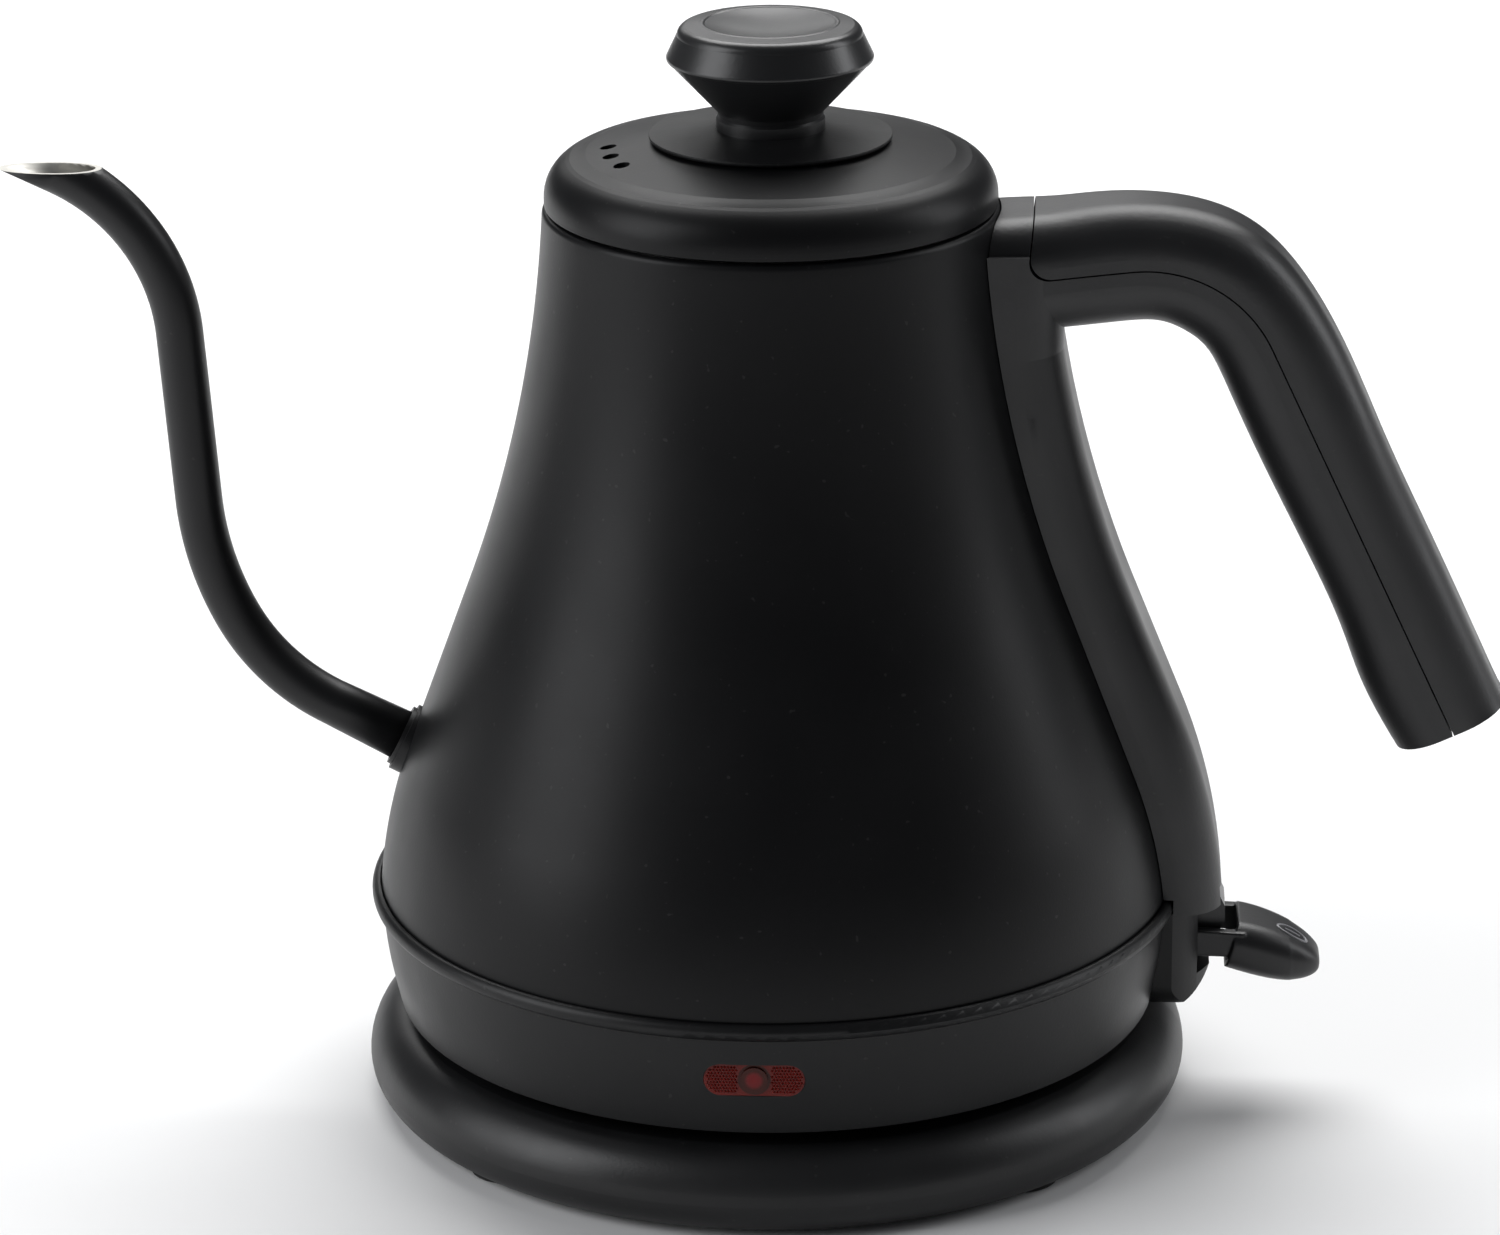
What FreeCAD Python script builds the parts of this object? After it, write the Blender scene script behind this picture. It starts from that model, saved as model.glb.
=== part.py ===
import FreeCAD, Part
import math
import os
import Sketcher

# Gooseneck kettle on a round power base, in millimetres.
# +Z is up, the spout points to -X and the handle to +X.
# The origin is on the axis of the power base, level with the underside of its feet.

os.makedirs("parts", exist_ok=True)
doc = FreeCAD.newDocument("gooseneck_kettle")

DIMENSIONS = {
    # Power base
    "foot_height": 1.5, "foot_radius": 7.5, "foot_circle": 70.5, "foot_inset": 1.0,
    "base_radius": 82.4, "base_widest_z": 7.5, "base_lower_arc": 7.2, "base_upper_arc": 10.0,
    "base_edge_radius": 79.2, "base_top_radius": 74.5, "base_top_z": 17.3, "base_wall": 2.2,
    "dish_radius": 69.5, "dish_z": 16.0, "plate_radius": 76.9, "plate_top_z": 4.0,
    "base_boss_circle": 60.0, "base_boss_radius": 4.0, "base_screw_radius": 1.5,
    "inlet_width": 10.0, "inlet_height": 8.0, "inlet_bore": 3.4, "inlet_length": 9.0,
    # Coaxial connector between base and kettle
    "tower_radius": 14.5, "tower_top_z": 30.0, "tower_flange": 22.0, "groove_floor_z": 20.0,
    "pin_radius": 2.0, "inner_ring_radius": 7.1, "outer_ring_radius": 11.1, "contact_wall": 0.7,
    "contact_gap": 0.4, "coupler_radius": 17.6, "coupler_top_z": 34.0, "coupler_roof_z": 31.0,
    "coupler_bottom_z": 18.2,
    # Skirt below the body
    "skirt_bottom_z": 20.4, "skirt_bottom_radius": 76.0, "skirt_arc": 95.0, "bead_radius": 1.8,
    "bead_z": 42.6, "bead_circle": 79.3, "skirt_wall": 2.4, "seat_z": 41.2, "cover_thickness": 2.0,
    "cover_radius": 74.3, "stand_rib_radius": 60.0, "stand_rib_wall": 3.0, "stand_gap": 0.05,
    "cover_screw_circle": 69.0, "lens_width": 19.4, "lens_height": 6.8, "lens_z": 32.2,
    # Body
    "body_foot_radius": 79.2, "body_foot_z": 44.0, "belly_arc": 100.0, "belly_radius": 73.36,
    "belly_z": 70.0, "waist_radius": 60.0, "waist_z": 106.0, "neck_arc": 261.0,
    "neck_radius": 44.35, "neck_z": 181.0, "rim_z": 182.2, "mouth_radius": 41.6, "steel": 0.8,
    "wall_angle": 20.3, "floor_z": 46.0, "envelope_gap": 0.15,
    # Heater
    "heater_radius": 58.0, "heater_thickness": 2.5, "element_circle": 48.0, "element_radius": 3.6,
    "control_length": 40.0, "control_width": 30.0, "control_height": 8.8,
    # Spout
    "spout_root_x": 73.8, "spout_root_z": 70.9, "spout_slope": 27.0, "spout_run": 16.5,
    "spout_arc_one": 42.8, "spout_slope_two": 62.7, "spout_arc_two": 61.9, "spout_slope_three": 86.0,
    "spout_rise": 34.3, "spout_arc_three": 39.0, "spout_slope_tip": 25.0, "spout_tip_run": 14.0,
    "spout_radius": 4.65, "spout_root_radius": 5.1, "spout_wall": 0.7, "spout_mouth_z": 188.2,
    "collar_radius": 7.0, "filter_radius": 10.0, "filter_hole": 0.9,
    # Handle
    "arm_slope": 5.3, "arm_start_x": 69.7, "arm_start_z": 172.5, "handle_arc": 27.0,
    "grip_slope": 64.7, "grip_length": 86.8, "handle_depth": 23.1,
    "root_width": 31.2, "grip_width": 25.0, "handle_corner": 9.0, "handle_wall": 2.6,
    "seam_gap": 0.3, "seam_front_x": 50.0, "seam_corner": 4.0, "spine_half_width": 15.9,
    "spine_bottom_z": 41.2, "spine_foot_x": 89.6, "spine_foot_arc": 120.0, "spine_knee_x": 80.5,
    "spine_knee_z": 81.0, "spine_waist_x": 70.8, "spine_waist_z": 105.0, "spine_neck_arc": 240.0,
    "spine_top_x": 56.8, "spine_top_z": 156.0, "spine_fillet": 9.0,
    # Switch
    "pivot_x": 79.0, "pivot_z": 32.8, "lever_pin_radius": 1.5, "pin_clearance": 0.05,
    "barrel_radius": 3.1, "arm_inner_y": 6.0, "arm_outer_y": 8.6, "arm_top_z": 34.9,
    "arm_bottom_z": 30.2, "paddle_root_x": 91.2, "paddle_tip_x": 110.3, "paddle_half_width": 9.2,
    "paddle_wall": 1.3, "slot_half_width": 9.6, "slot_bottom_z": 26.4, "slot_top_z": 44.2,
    "bulge_x": 88.3, "bulge_half_width": 14.6, "bulge_fillet": 5.0, "bulge_under_arc": 10.5,
    # Lid
    "lid_radius": 43.9, "lid_bottom_z": 182.7, "lid_side_z": 184.2, "lid_side_arc": 8.0,
    "lid_shoulder_radius": 39.6, "lid_shoulder_z": 191.4, "lid_step_arc": 14.5,
    "lid_step_radius": 35.7, "lid_step_z": 192.65, "lid_top_radius": 22.0, "lid_top_z": 195.2,
    "cup_radius": 38.4, "cup_bottom_z": 170.0, "cup_flange_z": 182.7, "seal_radius": 41.3,
    "vent_radius": 1.6, "vent_circle": 31.3, "vent_angle": 195.0, "vent_step": 13.0,
    # Knob
    "flange_radius": 23.6, "flange_bottom_z": 195.5, "flange_top_z": 197.4, "knob_neck_radius": 10.5,
    "knob_neck_z": 199.5, "knob_waist_z": 200.9, "knob_radius": 19.9, "knob_widest_z": 211.3,
    "knob_shoulder_radius": 17.9, "knob_shoulder_z": 215.8, "knob_top_radius": 16.2,
    "knob_top_z": 217.6, "dimple_radius": 12.9, "dimple_depth": 1.5, "knob_bore": 1.6,
}

sheet = doc.addObject("Spreadsheet::Sheet", "dims")
for row, (alias, number) in enumerate(DIMENSIONS.items(), start=1):
    sheet.set(f"A{row}", alias)
    sheet.set(f"B{row}", str(number))
    sheet.setAlias(f"B{row}", alias)
doc.recompute()


class Size:
    """A number together with the spreadsheet expression that gives it."""

    def __init__(self, number, text):
        self.number = number
        self.text = text

    def __add__(self, other):
        other = as_size(other)
        return Size(self.number + other.number, f"({self.text} + {other.text})")

    def __radd__(self, other):
        return as_size(other) + self

    def __sub__(self, other):
        other = as_size(other)
        return Size(self.number - other.number, f"({self.text} - {other.text})")

    def __rsub__(self, other):
        return as_size(other) - self

    def __mul__(self, other):
        other = as_size(other)
        return Size(self.number * other.number, f"({self.text} * {other.text})")

    def __rmul__(self, other):
        return as_size(other) * self

    def __truediv__(self, other):
        other = as_size(other)
        return Size(self.number / other.number, f"({self.text} / {other.text})")

    def __neg__(self):
        return Size(-self.number, f"(-{self.text})")


def as_size(number):
    """Plain numbers take part in sums with sizes from the sheet."""
    return number if isinstance(number, Size) else Size(float(number), f"{number:.9g}")


def sine(angle):
    angle = as_size(angle)
    return Size(math.sin(math.radians(angle.number)), f"sin({angle.text} * 1 deg)")


def cosine(angle):
    angle = as_size(angle)
    return Size(math.cos(math.radians(angle.number)), f"cos({angle.text} * 1 deg)")


class Dimensions:
    """Attribute access to the spreadsheet: dim.base_radius and so on."""

    def __getattr__(self, alias):
        return Size(float(sheet.get(alias)), f"dims.{alias}")


dim = Dimensions()


def bind(target, name, size):
    """Set a property now and tie it to the spreadsheet."""
    target.setExpression(name, as_size(size).text)


def body_named(label):
    body = doc.addObject("PartDesign::Body", label)
    body.Label = label
    return body


def origin_plane(body, role):
    return next(item for item in body.Origin.OriginFeatures if item.Role == role)


def new_sketch(body, role, height=0.0):
    """An empty sketch on one of the body's own origin planes, shifted along its normal."""
    sketch = body.newObject("Sketcher::SketchObject", f"{body.Name}_sketch")
    sketch.AttachmentSupport = (origin_plane(body, role), [""])
    sketch.MapMode = "FlatFace"
    bind(sketch, "AttachmentOffset.Base.z", height)
    return sketch


def pin_point(sketch, geometry, end, point):
    """Hold one end of an edge at a place given by the spreadsheet."""
    for kind, size in zip(("DistanceX", "DistanceY"), point):
        size = as_size(size)
        index = sketch.addConstraint(Sketcher.Constraint(kind, -1, 1, geometry, end, size.number))
        sketch.setExpression(f"Constraints[{index}]", size.text)


def arc_between(start, end, radius):
    """The shorter arc from start to end; a negative radius bends to the right."""
    a = FreeCAD.Vector(start[0].number, start[1].number, 0)
    b = FreeCAD.Vector(end[0].number, end[1].number, 0)
    chord = b - a
    left = FreeCAD.Vector(-chord.y, chord.x, 0).normalize()
    reach = math.sqrt(radius ** 2 - (chord.Length / 2) ** 2)
    centre = (a + b) * 0.5 + left * math.copysign(reach, radius)
    circle = Part.Circle(centre, FreeCAD.Vector(0, 0, 1), abs(radius))
    first, last = (a, b) if radius > 0 else (b, a)
    angles = [math.atan2(p.y - centre.y, p.x - centre.x) for p in (first, last)]
    return Part.ArcOfCircle(circle, angles[0], angles[1])


def add_outline(sketch, points, closed=True):
    """Draw an outline. A point is (x, y) or (x, y, radius of the arc that leaves it)."""
    corners = [tuple(as_size(part) for part in point) for point in points]
    count = len(corners) if closed else len(corners) - 1
    ends = []
    for index in range(count):
        start, end = corners[index], corners[(index + 1) % len(corners)]
        if len(start) == 3:
            radius = start[2].number
            geometry = sketch.addGeometry(arc_between(start, end, radius))
            number = sketch.addConstraint(Sketcher.Constraint("Radius", geometry, abs(radius)))
            sketch.setExpression(f"Constraints[{number}]", f"abs({start[2].text})")
            ends.append((geometry, 1, 2) if radius > 0 else (geometry, 2, 1))
        else:
            a = FreeCAD.Vector(start[0].number, start[1].number, 0)
            b = FreeCAD.Vector(end[0].number, end[1].number, 0)
            geometry = sketch.addGeometry(Part.LineSegment(a, b))
            ends.append((geometry, 1, 2))
    for index in range(count):
        geometry, first, last = ends[index]
        pin_point(sketch, geometry, first, corners[index][:2])
        if closed or index + 1 < count:
            follower = ends[(index + 1) % count]
            sketch.addConstraint(Sketcher.Constraint("Coincident", geometry, last, follower[0], follower[1]))
        else:
            pin_point(sketch, geometry, last, corners[index + 1][:2])
    return sketch


def add_circle(sketch, x, y, radius):
    """Draw a circle whose centre and radius follow the spreadsheet."""
    x, y, radius = as_size(x), as_size(y), as_size(radius)
    centre = FreeCAD.Vector(x.number, y.number, 0)
    geometry = sketch.addGeometry(Part.Circle(centre, FreeCAD.Vector(0, 0, 1), radius.number))
    number = sketch.addConstraint(Sketcher.Constraint("Radius", geometry, radius.number))
    sketch.setExpression(f"Constraints[{number}]", radius.text)
    pin_point(sketch, geometry, 3, (x, y))
    return sketch


def add_circles(sketch, circle, radius, count, first_angle=0.0):
    """Draw equal circles evenly round the origin."""
    for index in range(count):
        angle = as_size(first_angle) + 360.0 * index / count
        add_circle(sketch, circle * cosine(angle), circle * sine(angle), radius)
    return sketch


def box_points(x_low, x_high, y_low, y_high):
    return [(x_low, y_low), (x_high, y_low), (x_high, y_high), (x_low, y_high)]


def turn(body, points, cut=False):
    """Revolve an outline in the XZ plane round the Z axis."""
    sketch = add_outline(new_sketch(body, "XZ_Plane"), points)
    kind = "PartDesign::Groove" if cut else "PartDesign::Revolution"
    feature = body.newObject(kind, f"{body.Name}_turn")
    feature.Profile = sketch
    feature.ReferenceAxis = (sketch, ["V_Axis"])
    feature.Angle = 360.0
    return feature


def extrude(body, sketch, length, cut=False, both_sides=False, reverse=False):
    """Pad or pocket a sketch; a symmetric one takes the full length."""
    kind = "PartDesign::Pocket" if cut else "PartDesign::Pad"
    feature = body.newObject(kind, f"{body.Name}_pocket" if cut else f"{body.Name}_pad")
    feature.Profile = sketch
    bind(feature, "Length", length)
    feature.SideType = "Symmetric" if both_sides else "One side"
    feature.Reversed = reverse
    return feature


def cylinder(label, radius, height, x=0.0, y=0.0, z=0.0, along=None):
    """A plain round piece that starts at x, y, z and runs along +Z, or along another axis."""
    piece = doc.addObject("Part::Cylinder", label)
    bind(piece, "Radius", radius)
    bind(piece, "Height", height)
    if along is not None:
        piece.Placement.Rotation = FreeCAD.Rotation(FreeCAD.Vector(0, 0, 1), along)
    for axis, size in zip("xyz", (x, y, z)):
        bind(piece, f"Placement.Base.{axis}", size)
    return piece


# Power base ---------------------------------------------------------------------------------------


def base_shell():
    """Rounded moulding with a shallow dish on top, open below for the bottom plate."""
    body = body_named("base_shell")
    lower = dim.base_radius - dim.base_lower_arc
    upper = dim.base_radius - dim.base_upper_arc
    wall = dim.base_wall
    lip = dim.tower_radius + 0.4
    inner_top = upper + (dim.base_top_radius - upper) * 0.78
    turn(body, [
        (dim.base_edge_radius, dim.foot_height, dim.base_lower_arc),
        (dim.base_radius, dim.base_widest_z, dim.base_upper_arc),
        (dim.base_top_radius, dim.base_top_z),
        (dim.dish_radius + 2, dim.base_top_z),
        (dim.dish_radius, dim.dish_z),
        (lip + 3.7, dim.dish_z),
        (lip + 3.7, dim.dish_z + 1.4),
        (lip, dim.dish_z + 1.4),
        (lip, dim.dish_z - wall),
        (dim.dish_radius - 0.6, dim.dish_z - wall),
        (dim.dish_radius + 1.6, dim.base_top_z - wall),
        (inner_top, dim.base_top_z - wall, -(dim.base_upper_arc - wall)),
        (dim.base_radius - wall, dim.base_widest_z, -(dim.base_lower_arc - wall)),
        (lower + 3.57, dim.plate_top_z),
        (dim.plate_radius + 0.1, dim.plate_top_z),
        (dim.plate_radius + 0.1, dim.foot_height),
    ])
    posts = add_circles(new_sketch(body, "XY_Plane", dim.plate_top_z), dim.base_boss_circle,
                        dim.base_boss_radius, 4)
    extrude(body, posts, dim.dish_z - wall - dim.plate_top_z + 0.5)
    holes = add_circles(new_sketch(body, "XY_Plane", dim.plate_top_z), dim.base_boss_circle,
                        dim.base_screw_radius, 4)
    extrude(body, holes, 7.0, cut=True, reverse=True)
    half = dim.inlet_width / 2
    notch = add_outline(new_sketch(body, "XZ_Plane", -dim.base_radius - 2),
                        box_points(-half, half, dim.foot_height - 1, dim.foot_height + dim.inlet_height))
    extrude(body, notch, 10.0, cut=True, reverse=True)
    return body


def base_plate():
    """Flat bottom cover with pockets for the feet and counterbored screw holes."""
    body = body_named("base_plate")
    thickness = dim.plate_top_z - dim.foot_height
    disc = add_circle(new_sketch(body, "XY_Plane", dim.foot_height), 0, 0, dim.plate_radius)
    extrude(body, disc, thickness)
    pockets = add_circles(new_sketch(body, "XY_Plane", dim.foot_height), dim.foot_circle,
                          dim.foot_radius * 0.8 + 0.05, 4, 45.0)
    extrude(body, pockets, dim.foot_inset, cut=True, reverse=True)
    heads = add_circles(new_sketch(body, "XY_Plane", dim.foot_height), dim.base_boss_circle, 3.2, 4)
    extrude(body, heads, 1.4, cut=True, reverse=True)
    shanks = add_circles(new_sketch(body, "XY_Plane", dim.foot_height), dim.base_boss_circle,
                         dim.base_screw_radius + 0.2, 4)
    extrude(body, shanks, thickness, cut=True, reverse=True)
    slots = new_sketch(body, "XY_Plane", dim.foot_height)
    for index in range(-3, 4):
        add_outline(slots, box_points(index * 5.0 - 1, index * 5.0 + 1, -40.0, -30.0))
    extrude(body, slots, thickness, cut=True, reverse=True)
    half = dim.inlet_width / 2
    notch = add_outline(new_sketch(body, "XY_Plane", dim.foot_height),
                        box_points(-half, half, dim.plate_radius - 5.5, dim.plate_radius + 2))
    extrude(body, notch, thickness, cut=True, reverse=True)
    return body


def base_foot(index):
    """Rubber foot with a stem pressed into the plate."""
    body = body_named(f"base_foot_{index + 1}")
    angle = 45.0 + 90.0 * index
    x, y = dim.foot_circle * cosine(angle), dim.foot_circle * sine(angle)
    extrude(body, add_circle(new_sketch(body, "XY_Plane"), x, y, dim.foot_radius), dim.foot_height)
    stem = add_circle(new_sketch(body, "XY_Plane", dim.foot_height), x, y, dim.foot_radius * 0.8)
    extrude(body, stem, dim.foot_inset)
    return body


def screw_set(label, circle, count, head_z, head_radius, head_height, radius, length, first_angle=0.0):
    """Equal screws round the axis, heads down, with a recess in each head."""
    body = body_named(label)
    heads = add_circles(new_sketch(body, "XY_Plane", head_z), circle, head_radius, count, first_angle)
    extrude(body, heads, head_height)
    shanks = add_circles(new_sketch(body, "XY_Plane", head_z), circle, radius, count, first_angle)
    extrude(body, shanks, length)
    recess = add_circles(new_sketch(body, "XY_Plane", head_z), circle, radius * 0.6, count, first_angle)
    extrude(body, recess, as_size(head_height) * 0.6, cut=True, reverse=True)
    return body


def base_socket():
    """Central tower: a pin hole and two ring grooves, so the kettle connects at any angle."""
    body = body_named("base_socket")
    gap, wall = dim.contact_gap, dim.contact_wall
    radii = [dim.inner_ring_radius, dim.outer_ring_radius]
    points = [(0, 9.0), (16.0, 9.0), (16.0, 11.5), (dim.tower_flange, 11.5),
              (dim.tower_flange, dim.dish_z - dim.base_wall - 0.1),
              (dim.tower_radius, dim.dish_z - dim.base_wall - 0.1),
              (dim.tower_radius, dim.tower_top_z - 1), (dim.tower_radius - 1, dim.tower_top_z)]
    for radius in reversed(radii):
        points += [(radius + gap, dim.tower_top_z), (radius + gap, dim.groove_floor_z),
                   (radius - wall - gap, dim.groove_floor_z), (radius - wall - gap, dim.tower_top_z)]
    points += [(dim.pin_radius + gap + 0.2, dim.tower_top_z), (dim.pin_radius + gap + 0.2, 18.0), (0, 18.0)]
    turn(body, points)
    return body


def base_terminals():
    """Three brass blades under the tower."""
    body = body_named("base_terminals")
    blades = new_sketch(body, "XY_Plane", 5.0)
    for x in (-9.0, 0.0, 9.0):
        add_outline(blades, box_points(x - 2.4, x + 2.4, -0.4, 0.4))
    extrude(body, blades, 4.0)
    return body


def cord_inlet():
    """Grommet in the back of the base; its bore is where a cord enters."""
    body = body_named("cord_inlet")
    half = dim.inlet_width / 2 - 0.1
    top = dim.foot_height + dim.inlet_height - 0.1
    front = dim.base_radius - dim.inlet_length
    block = add_outline(new_sketch(body, "XZ_Plane", -front),
                        box_points(-half, half, dim.foot_height + 0.05, top))
    extrude(body, block, dim.inlet_length - 1.5, reverse=True)
    middle = (dim.foot_height + top) / 2
    flange = add_outline(new_sketch(body, "XZ_Plane", -front - 2.4),
                         box_points(-half - 2, half + 2, dim.plate_top_z + 0.2, top + 1.5))
    extrude(body, flange, 1.6, reverse=True)
    bore = add_circle(new_sketch(body, "XZ_Plane", -front + 1), 0, middle, dim.inlet_bore)
    extrude(body, bore, dim.inlet_length + 3, cut=True)
    return body


# Connector on the kettle --------------------------------------------------------------------------


def coupler_housing():
    """Cup that drops over the tower; the roof holds the pin and the two rings."""
    body = body_named("coupler_housing")
    roof, root = dim.coupler_roof_z, dim.coupler_roof_z + 1.5
    inner = dim.tower_radius + 0.6
    points = [(0, dim.coupler_top_z), (dim.coupler_radius, dim.coupler_top_z),
              (dim.coupler_radius, dim.coupler_bottom_z), (inner, dim.coupler_bottom_z), (inner, roof)]
    for radius in (dim.outer_ring_radius, dim.inner_ring_radius):
        points += [(radius, roof), (radius, root), (radius - dim.contact_wall, root),
                   (radius - dim.contact_wall, roof)]
    points += [(dim.pin_radius, roof), (dim.pin_radius, root), (0, root)]
    turn(body, points)
    return body


def coupler_pin():
    """Centre contact with a rounded tip."""
    body = body_named("coupler_pin")
    tip = 19.5
    turn(body, [(0, tip), (dim.pin_radius - 0.8, tip), (dim.pin_radius, tip + 1.2),
                (dim.pin_radius, dim.coupler_roof_z + 1.5), (0, dim.coupler_roof_z + 1.5)])
    return body


def coupler_ring(label, radius):
    """Tubular contact that slides into a groove of the tower."""
    body = body_named(label)
    top = dim.coupler_roof_z + 1.5
    inner = radius - dim.contact_wall
    turn(body, [(inner, 21.0), (radius, 21.0), (radius, top), (inner, top)])
    return body


# Skirt and underside ------------------------------------------------------------------------------


def skirt():
    """Plastic ring under the body with a rounded bead, a lens window and the switch bulge."""
    body = body_named("skirt")
    bottom, wall, cover = dim.skirt_bottom_z, dim.skirt_wall, dim.cover_thickness
    half, outer = dim.bulge_half_width, dim.bulge_x
    fillet, under = dim.bulge_fillet, dim.bulge_under_arc
    bulge = add_outline(new_sketch(body, "XZ_Plane"), [
        (75.0, bottom), (outer - under, bottom, under), (outer, bottom + under),
        (outer, dim.spine_bottom_z - 0.15), (75.0, dim.spine_bottom_z - 0.15),
    ])
    extrude(body, bulge, half * 2, both_sides=True)
    corners = new_sketch(body, "YZ_Plane", 70.0)
    for side in (1, -1):
        add_outline(corners, [
            ((half - fillet) * side, bottom, fillet * side), (half * side, bottom + fillet),
            ((half + 2) * side, bottom + fillet), ((half + 2) * side, bottom - 2),
            ((half - fillet) * side, bottom - 2),
        ])
    extrude(body, corners, 30.0, cut=True, reverse=True)
    plan = [
        (79.6, -half, 16.0), (outer - 3.6, -half + 5.0, 24.0), (outer, 0, 24.0),
        (outer - 3.6, half - 5.0, 16.0), (79.6, half), (79.6, 20.0), (95.0, 20.0), (95.0, -20.0),
        (79.6, -20.0),
    ]
    extrude(body, add_outline(new_sketch(body, "XY_Plane", bottom), plan), 30.0, cut=True, reverse=True)
    bead_low, bead_top = dim.bead_z - dim.bead_radius, dim.bead_z + dim.bead_radius * sine(70)
    rebate = dim.cover_radius + 0.2
    turn(body, [
        (dim.skirt_bottom_radius, bottom, dim.skirt_arc),
        (dim.bead_circle - 0.1, bead_low),
        (dim.bead_circle, bead_low, dim.bead_radius),
        (dim.bead_circle + dim.bead_radius, dim.bead_z, dim.bead_radius),
        (dim.bead_circle + dim.bead_radius * cosine(70), bead_top),
        (dim.body_foot_radius + 0.3, bead_top),
        (dim.body_foot_radius + 0.3, dim.seat_z),
        (dim.bead_circle - wall - 0.6, dim.seat_z),
        (dim.skirt_bottom_radius - wall, bottom + cover + 2),
        (dim.skirt_bottom_radius - wall, bottom + cover),
        (rebate, bottom + cover),
        (rebate, bottom),
    ])
    seat_circle, ledge = dim.cover_screw_circle, dim.skirt_bottom_z + cover
    bosses = add_circles(new_sketch(body, "XY_Plane", ledge), seat_circle, 3.4, 3, 60.0)
    extrude(body, bosses, 9.0)
    ribs = new_sketch(body, "XY_Plane", ledge)
    for index in range(3):
        add_circle(ribs, (seat_circle + 3.4) * cosine(60.0 + 120.0 * index),
                   (seat_circle + 3.4) * sine(60.0 + 120.0 * index), 1.8)
    extrude(body, ribs, 9.0)
    pilots = add_circles(new_sketch(body, "XY_Plane", ledge), seat_circle, 1.4, 3, 60.0)
    extrude(body, pilots, 8.0, cut=True, reverse=True)
    window_outline = stadium(dim.lens_width, dim.lens_height, dim.lens_z)
    window = add_outline(new_sketch(body, "XZ_Plane", dim.belly_radius), window_outline)
    extrude(body, window, 12.0, cut=True, reverse=True)
    chamber = add_outline(new_sketch(body, "XZ_Plane"), box_points(68.0, 82.2, 23.2, 46.0))
    extrude(body, chamber, dim.slot_half_width * 2 + 3.6, cut=True, both_sides=True)
    slot = add_outline(new_sketch(body, "XZ_Plane"), box_points(68.0, 95.0, dim.slot_bottom_z, 46.0))
    extrude(body, slot, dim.slot_half_width * 2, cut=True, both_sides=True)
    return body


def stadium(width, height, middle):
    """Outline of a slot with round ends, centred on the Z axis of the sketch."""
    half, radius = (width - height) / 2, height / 2
    return [(-half, middle - radius), (half, middle - radius, radius), (half + radius, middle, radius),
            (half, middle + radius), (-half, middle + radius, radius), (-half - radius, middle, radius)]


def bottom_cover():
    """Disc that closes the underside; the kettle stands on its rib."""
    body = body_named("bottom_cover")
    bottom, top = dim.skirt_bottom_z, dim.skirt_bottom_z + dim.cover_thickness
    foot = dim.dish_z + dim.stand_gap
    rib = dim.stand_rib_radius
    turn(body, [
        (dim.coupler_radius + 0.6, bottom), (rib - dim.stand_rib_wall, bottom),
        (rib - dim.stand_rib_wall, foot), (rib, foot), (rib, bottom),
        (dim.cover_radius, bottom), (dim.cover_radius, top - 0.1),
        (dim.coupler_radius + 0.6, top - 0.1),
    ])
    holes = add_circles(new_sketch(body, "XY_Plane", bottom), dim.cover_screw_circle, 1.7, 3, 60.0)
    extrude(body, holes, dim.cover_thickness, cut=True, reverse=True)
    return body


def switch_module():
    """Steam switch inside the bulge; its nose shows between the arms of the lever."""
    body = body_named("switch_module")
    block = add_outline(new_sketch(body, "XZ_Plane"), [
        (66.0, 24.0), (73.6, 24.0), (73.6, 37.4), (83.4, 37.4), (83.4, 36.0), (85.8, 34.0), (88.6, 33.4),
        (90.2, 35.6), (90.2, 39.0), (88.4, 42.8), (82.2, 42.8), (82.2, 39.6), (66.0, 39.6),
    ])
    extrude(body, block, (dim.arm_inner_y - 1.0) * 2, both_sides=True)
    return body


def switch_bracket():
    """Cheeks beside the lever that hold its pin."""
    body = body_named("switch_bracket")
    cheek = add_outline(new_sketch(body, "XZ_Plane"), box_points(73.6, 82.0, 27.4, 37.4))
    extrude(body, cheek, dim.slot_half_width * 2 + 3.6, both_sides=True)
    between = add_outline(new_sketch(body, "XZ_Plane"), box_points(75.0, 95.0, 20.0, 45.0))
    extrude(body, between, (dim.arm_outer_y + 0.4) * 2, cut=True, both_sides=True)
    hole = add_circle(new_sketch(body, "XZ_Plane"), dim.pivot_x, dim.pivot_z, dim.lever_pin_radius)
    extrude(body, hole, 40.0, cut=True, both_sides=True)
    return body


def lever_pin():
    """Steel pin fixed in the cheeks; the lever turns on it."""
    half = dim.slot_half_width + 1.5
    return cylinder("lever_pin", dim.lever_pin_radius, half * 2, dim.pivot_x, half, dim.pivot_z,
                    FreeCAD.Vector(0, -1, 0))


def lever_sections(inset):
    """Distance from the axis, half width, underside, top and corner of the paddle's cross-sections."""
    root, tip, half = dim.paddle_root_x, dim.paddle_tip_x, dim.paddle_half_width
    rows = [
        (root - 2, half, 26.6, 36.1, 4.4), (root + 6, half - 0.1, 24.2, 34.9, 4.6),
        (root + 11.5, half - 0.9, 23.2, 32.7, 4.2), (root + 16, half - 2.8, 23.5, 29.9, 2.9),
        (tip - 0.8, half - 5.2, 24.6, 27.6, 1.4),
    ]
    return [(x, width - inset, low + inset, high - inset, corner - inset * 0.7)
            for x, width, low, high, corner in rows]


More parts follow.
